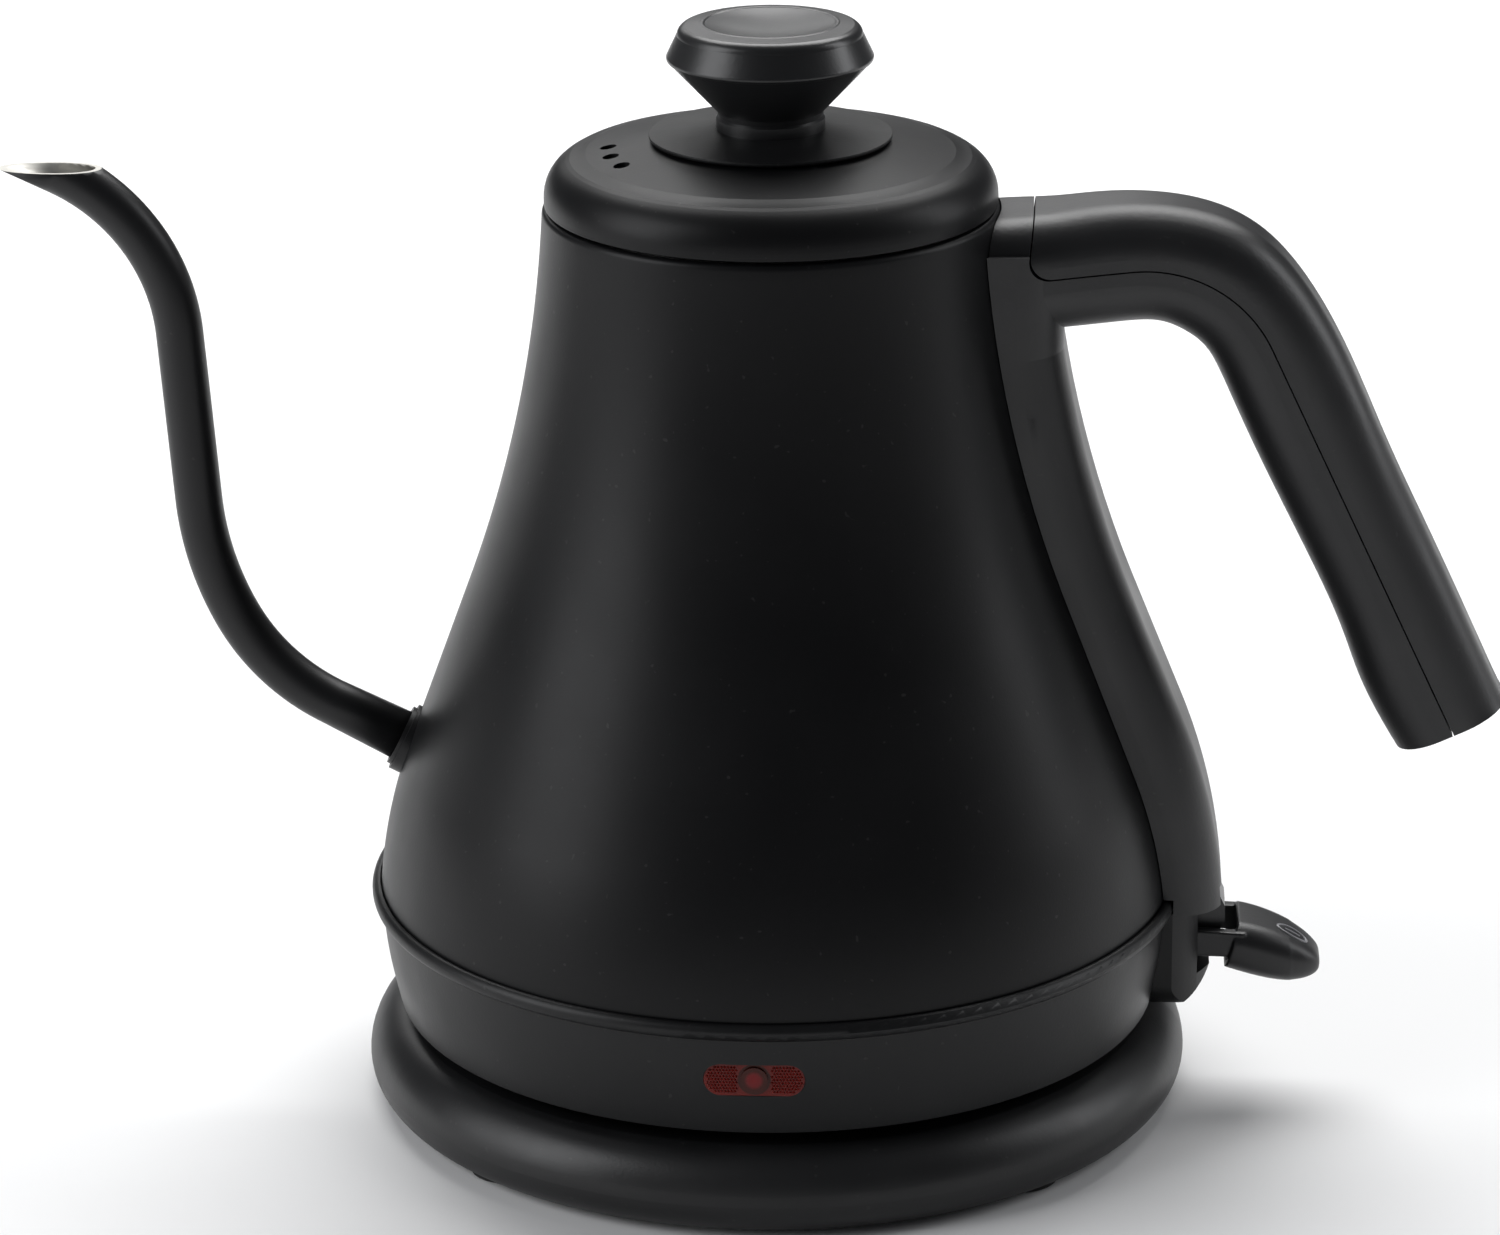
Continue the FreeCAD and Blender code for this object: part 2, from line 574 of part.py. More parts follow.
def switch_lever():
    """Fork with a barrel on the pin and a hollow paddle shaped like a pebble, in one moulding."""
    body = body_named("switch_lever")
    for inset, cut in ((0.0, False), (dim.paddle_wall, True)):
        sketches = []
        rows = lever_sections(as_size(inset))
        for x, half, low, high, corner in rows[:3] if cut else rows:
            outline = rounded_box(half, (high - low) / 2, corner, (high + low) / 2)
            sketches.append(add_outline(new_sketch(body, "YZ_Plane", x), outline))
        loft_through(body, sketches, cut)
    mouth = [(80.0, 20.0), (88.4, 20.0), (93.1, 36.6), (93.1, 42.0), (80.0, 42.0)]
    extrude(body, add_outline(new_sketch(body, "XZ_Plane"), mouth), 30.0, cut=True, both_sides=True)
    reach = dim.paddle_root_x + 3
    arm = [
        (dim.pivot_x, dim.arm_bottom_z - 0.4), (reach, dim.arm_bottom_z - 0.9),
        (reach, dim.arm_top_z - 0.4), (dim.pivot_x, dim.arm_top_z + 0.5),
    ]
    for side in (1, -1):
        flank = add_outline(new_sketch(body, "XZ_Plane", dim.arm_inner_y * side), arm)
        extrude(body, flank, dim.arm_outer_y - dim.arm_inner_y, reverse=side < 0)
    barrel = add_circle(new_sketch(body, "XZ_Plane"), dim.pivot_x, dim.pivot_z, dim.barrel_radius)
    extrude(body, barrel, dim.arm_outer_y * 2, both_sides=True)
    bore = dim.lever_pin_radius + dim.pin_clearance
    hole = add_circle(new_sketch(body, "XZ_Plane"), dim.pivot_x, dim.pivot_z, bore)
    extrude(body, hole, 40.0, cut=True, both_sides=True)
    return body


def indicator_lens():
    """Red window with a flange behind the skirt wall."""
    body = body_named("indicator_lens")
    width, height, middle = dim.lens_width - 0.2, dim.lens_height - 0.2, dim.lens_z
    front = add_outline(new_sketch(body, "XZ_Plane", 75.6), stadium(width, height, middle))
    extrude(body, front, 2.2)
    rear = add_outline(new_sketch(body, "XZ_Plane", 73.4), stadium(width, height, middle))
    extrude(body, rear, 2.2)
    dome = add_circle(new_sketch(body, "XZ_Plane", 77.8), 0, middle, 2.6)
    extrude(body, dome, 0.5)
    return body


def indicator_lamp():
    """Neon bulb behind the window."""
    return cylinder("indicator_lamp", 2.4, 12.0, 0, -72.8, dim.lens_z, FreeCAD.Vector(0, 1, 0))


def lamp_holder():
    """Socket that carries the bulb on the side of the control."""
    body = body_named("lamp_holder")
    block = add_circle(new_sketch(body, "XZ_Plane", 56.0), 0, dim.lens_z, 4.2)
    extrude(body, block, 9.0)
    bore = add_circle(new_sketch(body, "XZ_Plane", 60.7), 0, dim.lens_z, 2.4)
    extrude(body, bore, 6.0, cut=True, reverse=True)
    return body


# Body, floor and heater ---------------------------------------------------------------------------


def body_outline(gap):
    """Outer profile of the body from its foot to its neck, moved outwards by a gap."""
    lean_x, lean_z = cosine(dim.wall_angle) * gap, sine(dim.wall_angle) * gap
    return [
        (dim.body_foot_radius + gap, dim.body_foot_z, dim.belly_arc + gap),
        (dim.belly_radius + lean_x, dim.belly_z + lean_z),
        (dim.waist_radius + lean_x, dim.waist_z + lean_z, -(dim.neck_arc - gap)),
        (dim.neck_radius + gap, dim.neck_z),
    ]


def cut_envelope(body, gap):
    """Remove the space that the body and the bead of the skirt take up."""
    bead_high = dim.bead_z + dim.bead_radius + gap
    bead = dim.bead_circle + dim.bead_radius + gap
    outline = body_outline(as_size(gap))
    points = [(0, dim.skirt_bottom_z), (bead, dim.skirt_bottom_z), (bead, bead_high),
              (dim.body_foot_radius + gap, bead_high)]
    points += [(outline[0][0] - 0.01, bead_high + 0.01, outline[0][2])] + outline[1:]
    points += [(dim.neck_radius + gap, dim.lid_top_z + 10), (0, dim.lid_top_z + 10)]
    return turn(body, points, cut=True)


def body_shell():
    """Thin steel wall, flared below, with a rolled rim; holes for the spout and the steam tube."""
    body = body_named("body_shell")
    outer = body_outline(as_size(0))
    inner = body_outline(-dim.steel)
    turn(body, [
        (dim.body_foot_radius, dim.seat_z + 0.05), outer[0], outer[1], outer[2],
        (dim.neck_radius, dim.neck_z, 1.2),
        (dim.neck_radius - 1.1, dim.rim_z),
        (dim.mouth_radius, dim.rim_z),
        (dim.mouth_radius, dim.rim_z - 7.2),
        (dim.mouth_radius + 0.6, dim.rim_z - 7.2),
        (dim.mouth_radius + 0.6, dim.rim_z - dim.steel),
        (dim.neck_radius - 1.2, dim.rim_z - dim.steel),
        (inner[3][0], inner[3][1] - 0.3, dim.neck_arc + dim.steel),
        inner[2],
        (inner[1][0], inner[1][1], -(dim.belly_arc - dim.steel)),
        (inner[0][0], inner[0][1]),
        (inner[0][0], dim.seat_z + 0.05),
    ])
    spout = tilted_sketch(body, -dim.spout_root_x, dim.spout_root_z, 180.0 + dim.spout_slope)
    extrude(body, add_circle(spout, 0, 0, dim.spout_root_radius + 0.35), 20.0, cut=True, both_sides=True)
    steam = add_circle(new_sketch(body, "YZ_Plane", 40.0), 0, 150.0, 2.7)
    extrude(body, steam, 15.0, cut=True, reverse=True)
    return body


def tilted_sketch(body, x, z, angle):
    """A sketch square to the XZ plane, whose normal is +X turned about +Y by an angle."""
    sketch = new_sketch(body, "YZ_Plane", x)
    sketch.AttachmentOffset = FreeCAD.Placement(
        FreeCAD.Vector(0, as_size(z).number, as_size(x).number),
        FreeCAD.Rotation(FreeCAD.Vector(1, 0, 0), as_size(angle).number))
    bind(sketch, "AttachmentOffset.Base.y", z)
    bind(sketch, "AttachmentOffset.Rotation.Angle", angle)
    return sketch


def floor_pan():
    """Steel floor with a turned-down edge welded inside the body."""
    body = body_named("floor_pan")
    top, edge = dim.floor_z + dim.steel, dim.body_foot_radius - dim.steel - 0.4
    turn(body, [(0, dim.floor_z), (edge - dim.steel - 2.2, dim.floor_z, -2.2),
                (edge - dim.steel, dim.floor_z - 2.2), (edge - dim.steel, dim.seat_z + 1),
                (edge, dim.seat_z + 1), (edge, top - 3.0, 3.0), (edge - 3.0, top), (0, top)])
    return body


def heater_plate():
    """Aluminium plate that spreads the heat under the floor."""
    body = body_named("heater_plate")
    base = dim.floor_z - dim.heater_thickness
    ring = add_circle(new_sketch(body, "XY_Plane", base), 0, 0, dim.heater_radius)
    extrude(body, add_circle(ring, 0, 0, 12.0), dim.heater_thickness - 0.02)
    return body


def heating_element():
    """Sheathed element, most of a ring."""
    ring = doc.addObject("Part::Torus", "heating_element")
    bind(ring, "Radius1", dim.element_circle)
    bind(ring, "Radius2", dim.element_radius)
    ring.Angle3 = 330.0
    height = dim.floor_z - dim.heater_thickness - dim.element_radius - 0.02
    bind(ring, "Placement.Base.z", height)
    ring.Placement.Rotation = FreeCAD.Rotation(FreeCAD.Vector(0, 0, 1), 15.0)
    bind(ring, "Placement.Base.z", height)
    return ring


def element_pin(label, angle):
    """Cold pin at one end of the element."""
    height = dim.floor_z - dim.heater_thickness - 2 * dim.element_radius - 6.1
    x, y = dim.element_circle * cosine(angle), dim.element_circle * sine(angle)
    return cylinder(label, 1.6, 6.0, x, y, height)


def thermostat_control():
    """Block that carries the boil-dry thermostat, above the connector."""
    body = body_named("thermostat_control")
    half_x, half_y = dim.control_length / 2, dim.control_width / 2
    base = dim.coupler_top_z + 0.3
    block = add_outline(new_sketch(body, "XY_Plane", base), box_points(-half_x, half_x, -half_y, half_y))
    extrude(body, block, dim.control_height)
    sides = new_sketch(body, "XY_Plane", base)
    for side in (-1, 1):
        add_outline(sides, box_points(side * 16.0 - 3, side * 16.0 + 3, -half_y - 4, half_y + 4))
    extrude(body, sides, 5.0)
    return body


def control_disc():
    """Bimetal disc held against the floor."""
    return cylinder("control_disc", 9.0, 1.0, 0, 0, dim.floor_z - 1.1)


# Spout --------------------------------------------------------------------------------------------


def spout_heading(slope):
    return -cosine(slope), sine(slope)


def spout_bend(start, radius, first, last):
    """End point of a bend that takes the heading from one slope to another."""
    turn_sign = 1 if last.number > first.number else -1
    return (start[0] - radius * turn_sign * (sine(last) - sine(first)),
            start[1] - radius * turn_sign * (cosine(last) - cosine(first)))


def spout_points():
    """Corners of the centre line, from the end of the cone to past the mouth."""
    root = (-dim.spout_root_x, dim.spout_root_z)
    heading = spout_heading(dim.spout_slope)
    cone_end = (root[0] + heading[0] * dim.spout_run, root[1] + heading[1] * dim.spout_run)
    first = spout_bend(cone_end, dim.spout_arc_one, dim.spout_slope, dim.spout_slope_two)
    second = spout_bend(first, dim.spout_arc_two, dim.spout_slope_two, dim.spout_slope_three)
    rise = spout_heading(dim.spout_slope_three)
    third = (second[0] + rise[0] * dim.spout_rise, second[1] + rise[1] * dim.spout_rise)
    fourth = spout_bend(third, dim.spout_arc_three, dim.spout_slope_three, dim.spout_slope_tip)
    tip = spout_heading(dim.spout_slope_tip)
    end = (fourth[0] + tip[0] * dim.spout_tip_run, fourth[1] + tip[1] * dim.spout_tip_run)
    return [(*cone_end, -dim.spout_arc_one), (*first, -dim.spout_arc_two), second,
            (*third, dim.spout_arc_three), fourth, end]


def spout_tube():
    """Swan-neck tube: a short cone at the root, then even bends, cut level at the mouth."""
    body = body_named("spout_tube")
    points = spout_points()
    heading = spout_heading(dim.spout_slope)
    start = (-dim.spout_root_x - heading[0] * 5.0, dim.spout_root_z - heading[1] * 5.0)
    for kind, shrink in (("Additive", 0.0), ("Subtractive", dim.spout_wall)):
        near = tilted_sketch(body, start[0], start[1], 180.0 + dim.spout_slope)
        add_circle(near, 0, 0, dim.spout_root_radius + 0.25 - shrink)
        far = tilted_sketch(body, points[0][0], points[0][1], 180.0 + dim.spout_slope)
        add_circle(far, 0, 0, dim.spout_radius - shrink)
        cone = body.newObject(f"PartDesign::{kind}Loft", f"spout_{kind}_cone")
        cone.Profile = near
        cone.Sections = [far]
        path = add_outline(new_sketch(body, "XZ_Plane"), points, closed=False)
        pipe = body.newObject(f"PartDesign::{kind}Pipe", f"spout_{kind}_pipe")
        pipe.Profile = far
        pipe.Spine = (path, [""])
    above = box_points(-170.0, -125.0, dim.spout_mouth_z, dim.spout_mouth_z + 20)
    extrude(body, add_outline(new_sketch(body, "XZ_Plane"), above), 40.0, cut=True, both_sides=True)
    return body


def spout_collar():
    """Stepped ring where the spout meets the body."""
    body = body_named("spout_collar")
    heading = spout_heading(dim.spout_slope)
    for start, length, radius in ((-1.6, 2.3, dim.collar_radius), (0.7, 0.8, dim.collar_radius - 0.8)):
        x, z = -dim.spout_root_x + heading[0] * start, dim.spout_root_z + heading[1] * start
        extrude(body, add_circle(tilted_sketch(body, x, z, 180.0 + dim.spout_slope), 0, 0, radius), length)
    bore = tilted_sketch(body, -dim.spout_root_x, dim.spout_root_z, 180.0 + dim.spout_slope)
    extrude(body, add_circle(bore, 0, 0, dim.spout_root_radius + 0.25), 12.0, cut=True, both_sides=True)
    cut_envelope(body, 0.02)
    return body


def spout_filter():
    """Perforated disc inside the body at the root of the spout."""
    body = body_named("spout_filter")
    x, z = -dim.spout_root_x + 8.5, dim.spout_root_z - 3.2
    disc = add_circle(tilted_sketch(body, x, z, 180.0 + dim.wall_angle), 0, 0, dim.filter_radius)
    extrude(body, disc, 0.6)
    holes = tilted_sketch(body, x, z, 180.0 + dim.wall_angle)
    add_circle(holes, 0, 0, dim.filter_hole)
    for ring in (1, 2):
        add_circles(holes, as_size(3.6 * ring), dim.filter_hole, 6 * ring)
    extrude(body, holes, 4.0, cut=True, both_sides=True)
    return body


# Handle -------------------------------------------------------------------------------------------


def arm_centre():
    """Centre of the bend between the arm and the grip."""
    return (dim.arm_start_x + dim.handle_arc * sine(dim.arm_slope),
            dim.arm_start_z - dim.handle_arc * cosine(dim.arm_slope))


def along_arm(x):
    """Point and heading on the straight arm at a distance from the axis."""
    return x, dim.arm_start_z - (dim.arm_start_x - x) * sine(dim.arm_slope), dim.arm_slope


def along_bend(share):
    """Point and heading part of the way round the bend."""
    centre = arm_centre()
    angle = dim.arm_slope - (dim.arm_slope + dim.grip_slope) * share
    return centre[0] - dim.handle_arc * sine(angle), centre[1] + dim.handle_arc * cosine(angle), angle


def along_grip(share):
    """Point and heading part of the way down the grip."""
    x, z, _ = along_bend(1.0)
    reach = dim.grip_length * share
    return x + cosine(dim.grip_slope) * reach, z - sine(dim.grip_slope) * reach, -dim.grip_slope


def handle_sections(first_x):
    """Places and widths of the cross-sections, from the body to the end of the grip."""
    step = dim.root_width - dim.grip_width
    return [
        (along_arm(first_x), dim.grip_width + step * (60.0 - first_x) / 20.0 * 0.6 + step * 0.4),
        (along_arm(as_size(60.0)), dim.grip_width + step * 0.4),
        (along_bend(0.0), dim.grip_width + step * 0.18),
        (along_bend(0.33), dim.grip_width + step * 0.05),
        (along_bend(0.67), dim.grip_width),
        (along_bend(1.0), dim.grip_width),
        (along_grip(0.35), dim.grip_width),
        (along_grip(0.7), dim.grip_width),
        (along_grip(1.0), dim.grip_width),
    ]


def rounded_box(half_x, half_y, corner, middle=0.0):
    """Outline of a rectangle with round corners, centred on the sketch or raised above its middle."""
    low_x, low_y = half_x - corner, half_y - corner
    points = [
        (-low_x, -half_y), (low_x, -half_y, corner), (half_x, -low_y), (half_x, low_y, corner),
        (low_x, half_y), (-low_x, half_y, corner), (-half_x, low_y), (-half_x, -low_y, corner)]
    return [(point[0], point[1] + middle, *point[2:]) for point in points]


def handle_loft(body, inset, first_x, cut=False):
    """Loft of rounded rectangles along the arm, the bend and the grip."""
    sections = handle_sections(first_x)
    if cut:
        sections[-1] = (along_grip(0.95), dim.grip_width)
    sketches = []
    for (x, z, angle), width in sections:
        outline = rounded_box(width / 2 - inset, dim.handle_depth / 2 - inset, dim.handle_corner - inset)
        sketches.append(add_outline(tilted_sketch(body, x, z, -angle), outline))
    return loft_through(body, sketches, cut)


def loft_through(body, sketches, cut=False):
    """Join sketches into one solid, or take such a solid away."""
    kind = "PartDesign::SubtractiveLoft" if cut else "PartDesign::AdditiveLoft"
    loft = body.newObject(kind, f"{body.Name}_loft")
    loft.Profile = sketches[0]
    loft.Sections = sketches[1:]
    return loft


def seam_points(gap):
    """Line between the handle's two halves, moved towards the cover by a gap."""
    front = dim.seam_front_x + gap
    radius = dim.handle_arc + gap
    centre = arm_centre()
    bottom = along_arm(front + dim.seam_corner)
    end = along_grip(1.08)
    shift_x, shift_z = sine(dim.grip_slope) * gap, cosine(dim.grip_slope) * gap
    return [
        (front + 2.0, 195.0),
        (front, bottom[1] + gap + dim.seam_corner, dim.seam_corner),
        (bottom[0], bottom[1] + gap),
        (centre[0] - radius * sine(dim.arm_slope), centre[1] + radius * cosine(dim.arm_slope), -radius),
        (centre[0] + radius * sine(dim.grip_slope), centre[1] + radius * cosine(dim.grip_slope)),
        (end[0] + shift_x, end[1] + shift_z),
    ]


def screw_sketch(body, share, inner):
    """A sketch on the seam, square to the grip; its normal points into one of the halves."""
    x, z, _ = along_grip(share)
    return tilted_sketch(body, x, z, (90.0 if inner else -90.0) + dim.grip_slope)


# Places of the two screws, as shares of the grip's length
HANDLE_SCREWS = (0.2, 0.75)


def handle_cover():
    """Outer half of the handle, a shell with two screw posts."""
    body = body_named("handle_cover")
    handle_loft(body, 0, as_size(48.0))
    handle_loft(body, dim.handle_wall, as_size(54.0), cut=True)
    for share in HANDLE_SCREWS:
        extrude(body, add_circle(screw_sketch(body, share, False), 0, 0, 3.6), dim.handle_depth / 2 - 1.2)
        extrude(body, add_circle(screw_sketch(body, share, True), 0, 0, 1.2), 7.0, cut=True)
    line = seam_points(dim.seam_gap)
    inside = line + [(line[-1][0], 30.0), (30.0, 30.0), (30.0, 195.0)]
    extrude(body, add_outline(new_sketch(body, "XZ_Plane"), inside), 60.0, cut=True, both_sides=True)
    return body


def handle_frame():
    """Spine along the back of the body and the inner half of the handle, in one moulding."""
    body = body_named("handle_frame")
    spine = [
        (40.0, dim.spine_bottom_z), (dim.spine_foot_x, dim.spine_bottom_z, dim.spine_foot_arc),
        (dim.spine_knee_x, dim.spine_knee_z), (dim.spine_waist_x, dim.spine_waist_z, -dim.spine_neck_arc),
        (dim.spine_top_x, dim.spine_top_z), (dim.spine_top_x, 176.0), (40.0, 176.0),
    ]
    side_view = add_outline(new_sketch(body, "XZ_Plane"), spine)
    strip = extrude(body, side_view, dim.spine_half_width * 2, both_sides=True)
    doc.recompute()
    rounded = body.newObject("PartDesign::Fillet", "handle_frame_fillet")
    edges = outer_edges(strip.Shape, dim.spine_top_x.number - 0.2, dim.spine_half_width.number)
    rounded.Base = (strip, edges)
    bind(rounded, "Radius", dim.spine_fillet)
    doc.recompute()
    handle_loft(body, 0, as_size(40.0))
    handle_loft(body, dim.handle_wall, as_size(56.0), cut=True)
    for share in HANDLE_SCREWS:
        extrude(body, add_circle(screw_sketch(body, share, True), 0, 0, 3.6), dim.handle_depth / 2 - 1.2)
    line = seam_points(as_size(0))
    outside = line + [(170.0, line[-1][1]), (170.0, 195.0)]
    extrude(body, add_outline(new_sketch(body, "XZ_Plane"), outside), 60.0, cut=True, both_sides=True)
    for share in HANDLE_SCREWS:
        extrude(body, add_circle(screw_sketch(body, share, False), 0, 0, 1.6), 20.0, cut=True)
        extrude(body, add_circle(screw_seat(body, share), 0, 0, 2.9), 6.0, cut=True)
    wall = dim.handle_wall
    channel = [
        (70.0, dim.spine_bottom_z - 1),
        (dim.spine_foot_x - wall, dim.spine_bottom_z - 1, dim.spine_foot_arc - wall),
        (dim.spine_knee_x - wall, dim.spine_knee_z - 1),
        (dim.spine_waist_x - wall, dim.spine_waist_z - 1, -(dim.spine_neck_arc + wall)),
        (dim.spine_top_x - wall - 0.4, dim.spine_top_z), (40.0, dim.spine_top_z), (40.0, 120.0),
        (60.0, 70.0),
    ]
    extrude(body, add_outline(new_sketch(body, "XZ_Plane"), channel), 22.0, cut=True, both_sides=True)
    bracket = add_outline(new_sketch(body, "XZ_Plane"), box_points(40.0, 49.7, 158.8, 173.2))
    extrude(body, bracket, 14.4, cut=True, both_sides=True)
    slot = add_outline(new_sketch(body, "XZ_Plane"), [
        (70.0, 38.0), (95.0, 38.0), (95.0, dim.slot_top_z + 2), (85.0, dim.slot_top_z),
        (70.0, dim.slot_top_z),
    ])
    extrude(body, slot, dim.slot_half_width * 2, cut=True, both_sides=True)
    cut_envelope(body, dim.envelope_gap)
    return body


def outer_edges(shape, beyond, half_width):
    """Names of the long edges on both flanks, outside a distance from the axis."""
    names = []
    for number, edge in enumerate(shape.Edges, start=1):
        box = edge.BoundBox
        flat = box.YLength < 0.01 and abs(abs(box.YMax) - half_width) < 0.01
        if flat and box.XMin > beyond and box.ZLength > 15:
            names.append(f"Edge{number}")
    return names


def screw_seat(body, share):
    """A sketch on the seat of a screw head; its normal points to the grip's outer side."""
    x, z, _ = along_grip(share)
    reach = dim.handle_depth / 2 - 2.0
    return tilted_sketch(body, x - sine(dim.grip_slope) * reach, z - cosine(dim.grip_slope) * reach,
                         dim.grip_slope - 90.0)


def handle_screw(label, share):
    """Screw from the inner side of the grip into the cover."""
    body = body_named(label)
    extrude(body, add_circle(screw_seat(body, share), 0, 0, 2.6), 1.2, reverse=True)
    extrude(body, add_circle(screw_seat(body, share), 0, 0, 1.2), 14.0)
    return body


def bracket(label, x, low, high, half_width, slot_width=0.0):
    """Steel block welded to the back of the body for the handle, plain or split by a slot."""
    body = body_named(label)
    block = box_points(as_size(x) - 16.0, x, low, high)
    extrude(body, add_outline(new_sketch(body, "XZ_Plane"), block), half_width * 2, both_sides=True)
    if slot_width:
        slot = add_outline(new_sketch(body, "XZ_Plane"), block)
        extrude(body, slot, slot_width, cut=True, both_sides=True)
    cut_envelope(body, 0.02)
    return body


def steam_tube():
    """Tube that leads steam down the spine to the switch."""
    body = body_named("steam_tube")
    points = [
        (47.5, 150.0), (48.8, 150.0, -4.0), (52.71, 146.83, 338.5), (64.1, 106.0),
        (76.62, 70.0, -109.4), (81.8, 48.0),
    ]
    path = add_outline(new_sketch(body, "XZ_Plane"), points, closed=False)
    ring = tilted_sketch(body, 47.5, 150.0, 0.0)
    for radius in (2.0, 1.4):
        add_circle(ring, 0, 0, radius)
    pipe = body.newObject("PartDesign::AdditivePipe", "steam_pipe")
    pipe.Profile = ring
    pipe.Spine = (path, [""])
    return body


# Lid and knob -------------------------------------------------------------------------------------


def lid_shell():
    """Thin steel dome with a rolled edge, a stepped shoulder and three steam vents."""
    body = body_named("lid_shell")
    steel = dim.steel
    turn(body, [
        (dim.lid_radius - 1.0, dim.lid_bottom_z), (dim.lid_radius - 0.3, dim.lid_bottom_z, 0.4),
        (dim.lid_radius, dim.lid_bottom_z + 0.4), (dim.lid_radius, dim.lid_side_z, dim.lid_side_arc),
        (dim.lid_shoulder_radius, dim.lid_shoulder_z),
        (dim.lid_shoulder_radius - 0.8, dim.lid_shoulder_z + 0.4, -dim.lid_step_arc),
        (dim.lid_step_radius, dim.lid_step_z), (dim.lid_top_radius, dim.lid_top_z), (2.2, dim.lid_top_z),
        (2.2, dim.lid_top_z - steel), (dim.lid_top_radius, dim.lid_top_z - steel),
        (dim.lid_step_radius, dim.lid_step_z - steel, dim.lid_step_arc + steel),
        (dim.lid_shoulder_radius - 1.1, dim.lid_shoulder_z - 0.4),
        (dim.lid_shoulder_radius - 0.5, dim.lid_shoulder_z - 0.75, -(dim.lid_side_arc - steel)),
        (dim.lid_radius - steel, dim.lid_side_z), (dim.lid_radius - 1.0, dim.lid_side_z - 0.2),
    ])
    vents = new_sketch(body, "XY_Plane", dim.cup_bottom_z)
    for step in (-1, 0, 1):
        angle = dim.vent_angle + dim.vent_step * step
        add_circle(vents, dim.vent_circle * cosine(angle), dim.vent_circle * sine(angle), dim.vent_radius)
    extrude(body, vents, 40.0, cut=True, reverse=True)
    return body


def lid_cup():
    """Steel pan under the dome that guides the lid into the mouth."""
    body = body_named("lid_cup")
    radius, bottom, flange = dim.cup_radius, dim.cup_bottom_z, dim.cup_flange_z
    turn(body, [
        (0, bottom), (radius - 1, bottom), (radius, bottom + 1), (radius, flange),
        (dim.lid_radius - 1.2, flange), (dim.lid_radius - 1.2, flange + 0.6), (radius - 0.6, flange + 0.6),
        (radius - 0.6, bottom + 1.4), (radius - 1.4, bottom + 0.6), (0, bottom + 0.6),
    ])
    vents = new_sketch(body, "XY_Plane", bottom)
    for step in (-1, 0, 1):
        angle = dim.vent_angle + dim.vent_step * step
        add_circle(vents, 24.0 * cosine(angle), 24.0 * sine(angle), dim.vent_radius)
    extrude(body, vents, 2.0, cut=True, reverse=True)
    return body


def lid_seal():
    """Soft ring round the cup with two lips."""
    body = body_named("lid_seal")
    inner, outer, bottom = dim.cup_radius + 0.05, dim.seal_radius, dim.cup_bottom_z + 3
    turn(body, [
        (inner, bottom), (outer - 0.6, bottom), (outer, bottom + 0.8), (outer - 1.3, bottom + 1.8),
        (outer - 1.3, bottom + 3.2), (outer, bottom + 4.4), (outer - 1.3, bottom + 5.4),
        (outer - 1.3, bottom + 6.4), (inner, bottom + 6.4),
    ])
    return body


def knob_flange():
    """Thin plastic disc between the dome and the knob."""
    body = body_named("knob_flange")
    radius, bottom, top = dim.flange_radius, dim.flange_bottom_z, dim.flange_top_z
    turn(body, [
        (2.2, dim.lid_top_z), (dim.lid_top_radius - 4, dim.lid_top_z), (dim.lid_top_radius - 4, bottom),
        (radius - 0.4, bottom, 0.6), (radius - 0.2, bottom + 0.8), (dim.knob_neck_radius + 1, top),
        (2.2, top),
    ])
    return body


def knob():
    """Turned knob: a narrow neck, a flaring underside, a bevel and a dimple on top."""
    body = body_named("knob")
    bore, top = dim.knob_bore, dim.knob_top_z
    turn(body, [
        (bore, dim.flange_top_z), (dim.knob_neck_radius, dim.flange_top_z),
        (dim.knob_neck_radius, dim.knob_neck_z), (dim.knob_neck_radius - 0.4, dim.knob_neck_z + 0.4),
        (dim.knob_neck_radius - 0.2, dim.knob_waist_z),
        (dim.knob_radius - 0.5, dim.knob_widest_z - 0.7, 0.8),
        (dim.knob_radius - 0.1, dim.knob_widest_z + 0.5),
        (dim.knob_shoulder_radius, dim.knob_shoulder_z, 2.2),
        (dim.knob_top_radius, dim.knob_top_z), (dim.dimple_radius + 0.5, top + 0.4, 0.8),
        (dim.dimple_radius - 0.4, top + 0.3, -60.0), (0, top - dim.dimple_depth), (0, dim.flange_top_z + 12),
        (bore, dim.flange_top_z + 12),
    ])
    return body


def knob_screw():
    """Screw from under the dome into the knob."""
    body = body_named("knob_screw")
    seat = dim.lid_top_z - dim.steel - 0.6
    turn(body, [(0, seat - 2.2), (3.2, seat - 2.2), (3.4, seat), (dim.knob_bore - 0.05, seat),
                (dim.knob_bore - 0.05, dim.flange_top_z + 9), (0, dim.flange_top_z + 10)])
    recess = add_circle(new_sketch(body, "XY_Plane", seat - 2.2), 0, 0, 1.2)
    extrude(body, recess, 1.2, cut=True, reverse=True)
    return body


def knob_washer():
    """Washer under the dome."""
    body = body_named("knob_washer")
    top = dim.lid_top_z - dim.steel
    turn(body, [(dim.knob_bore + 0.1, top - 0.6), (6.0, top - 0.6), (6.0, top), (dim.knob_bore + 0.1, top)])
    return body


# Assembly -----------------------------------------------------------------------------------------

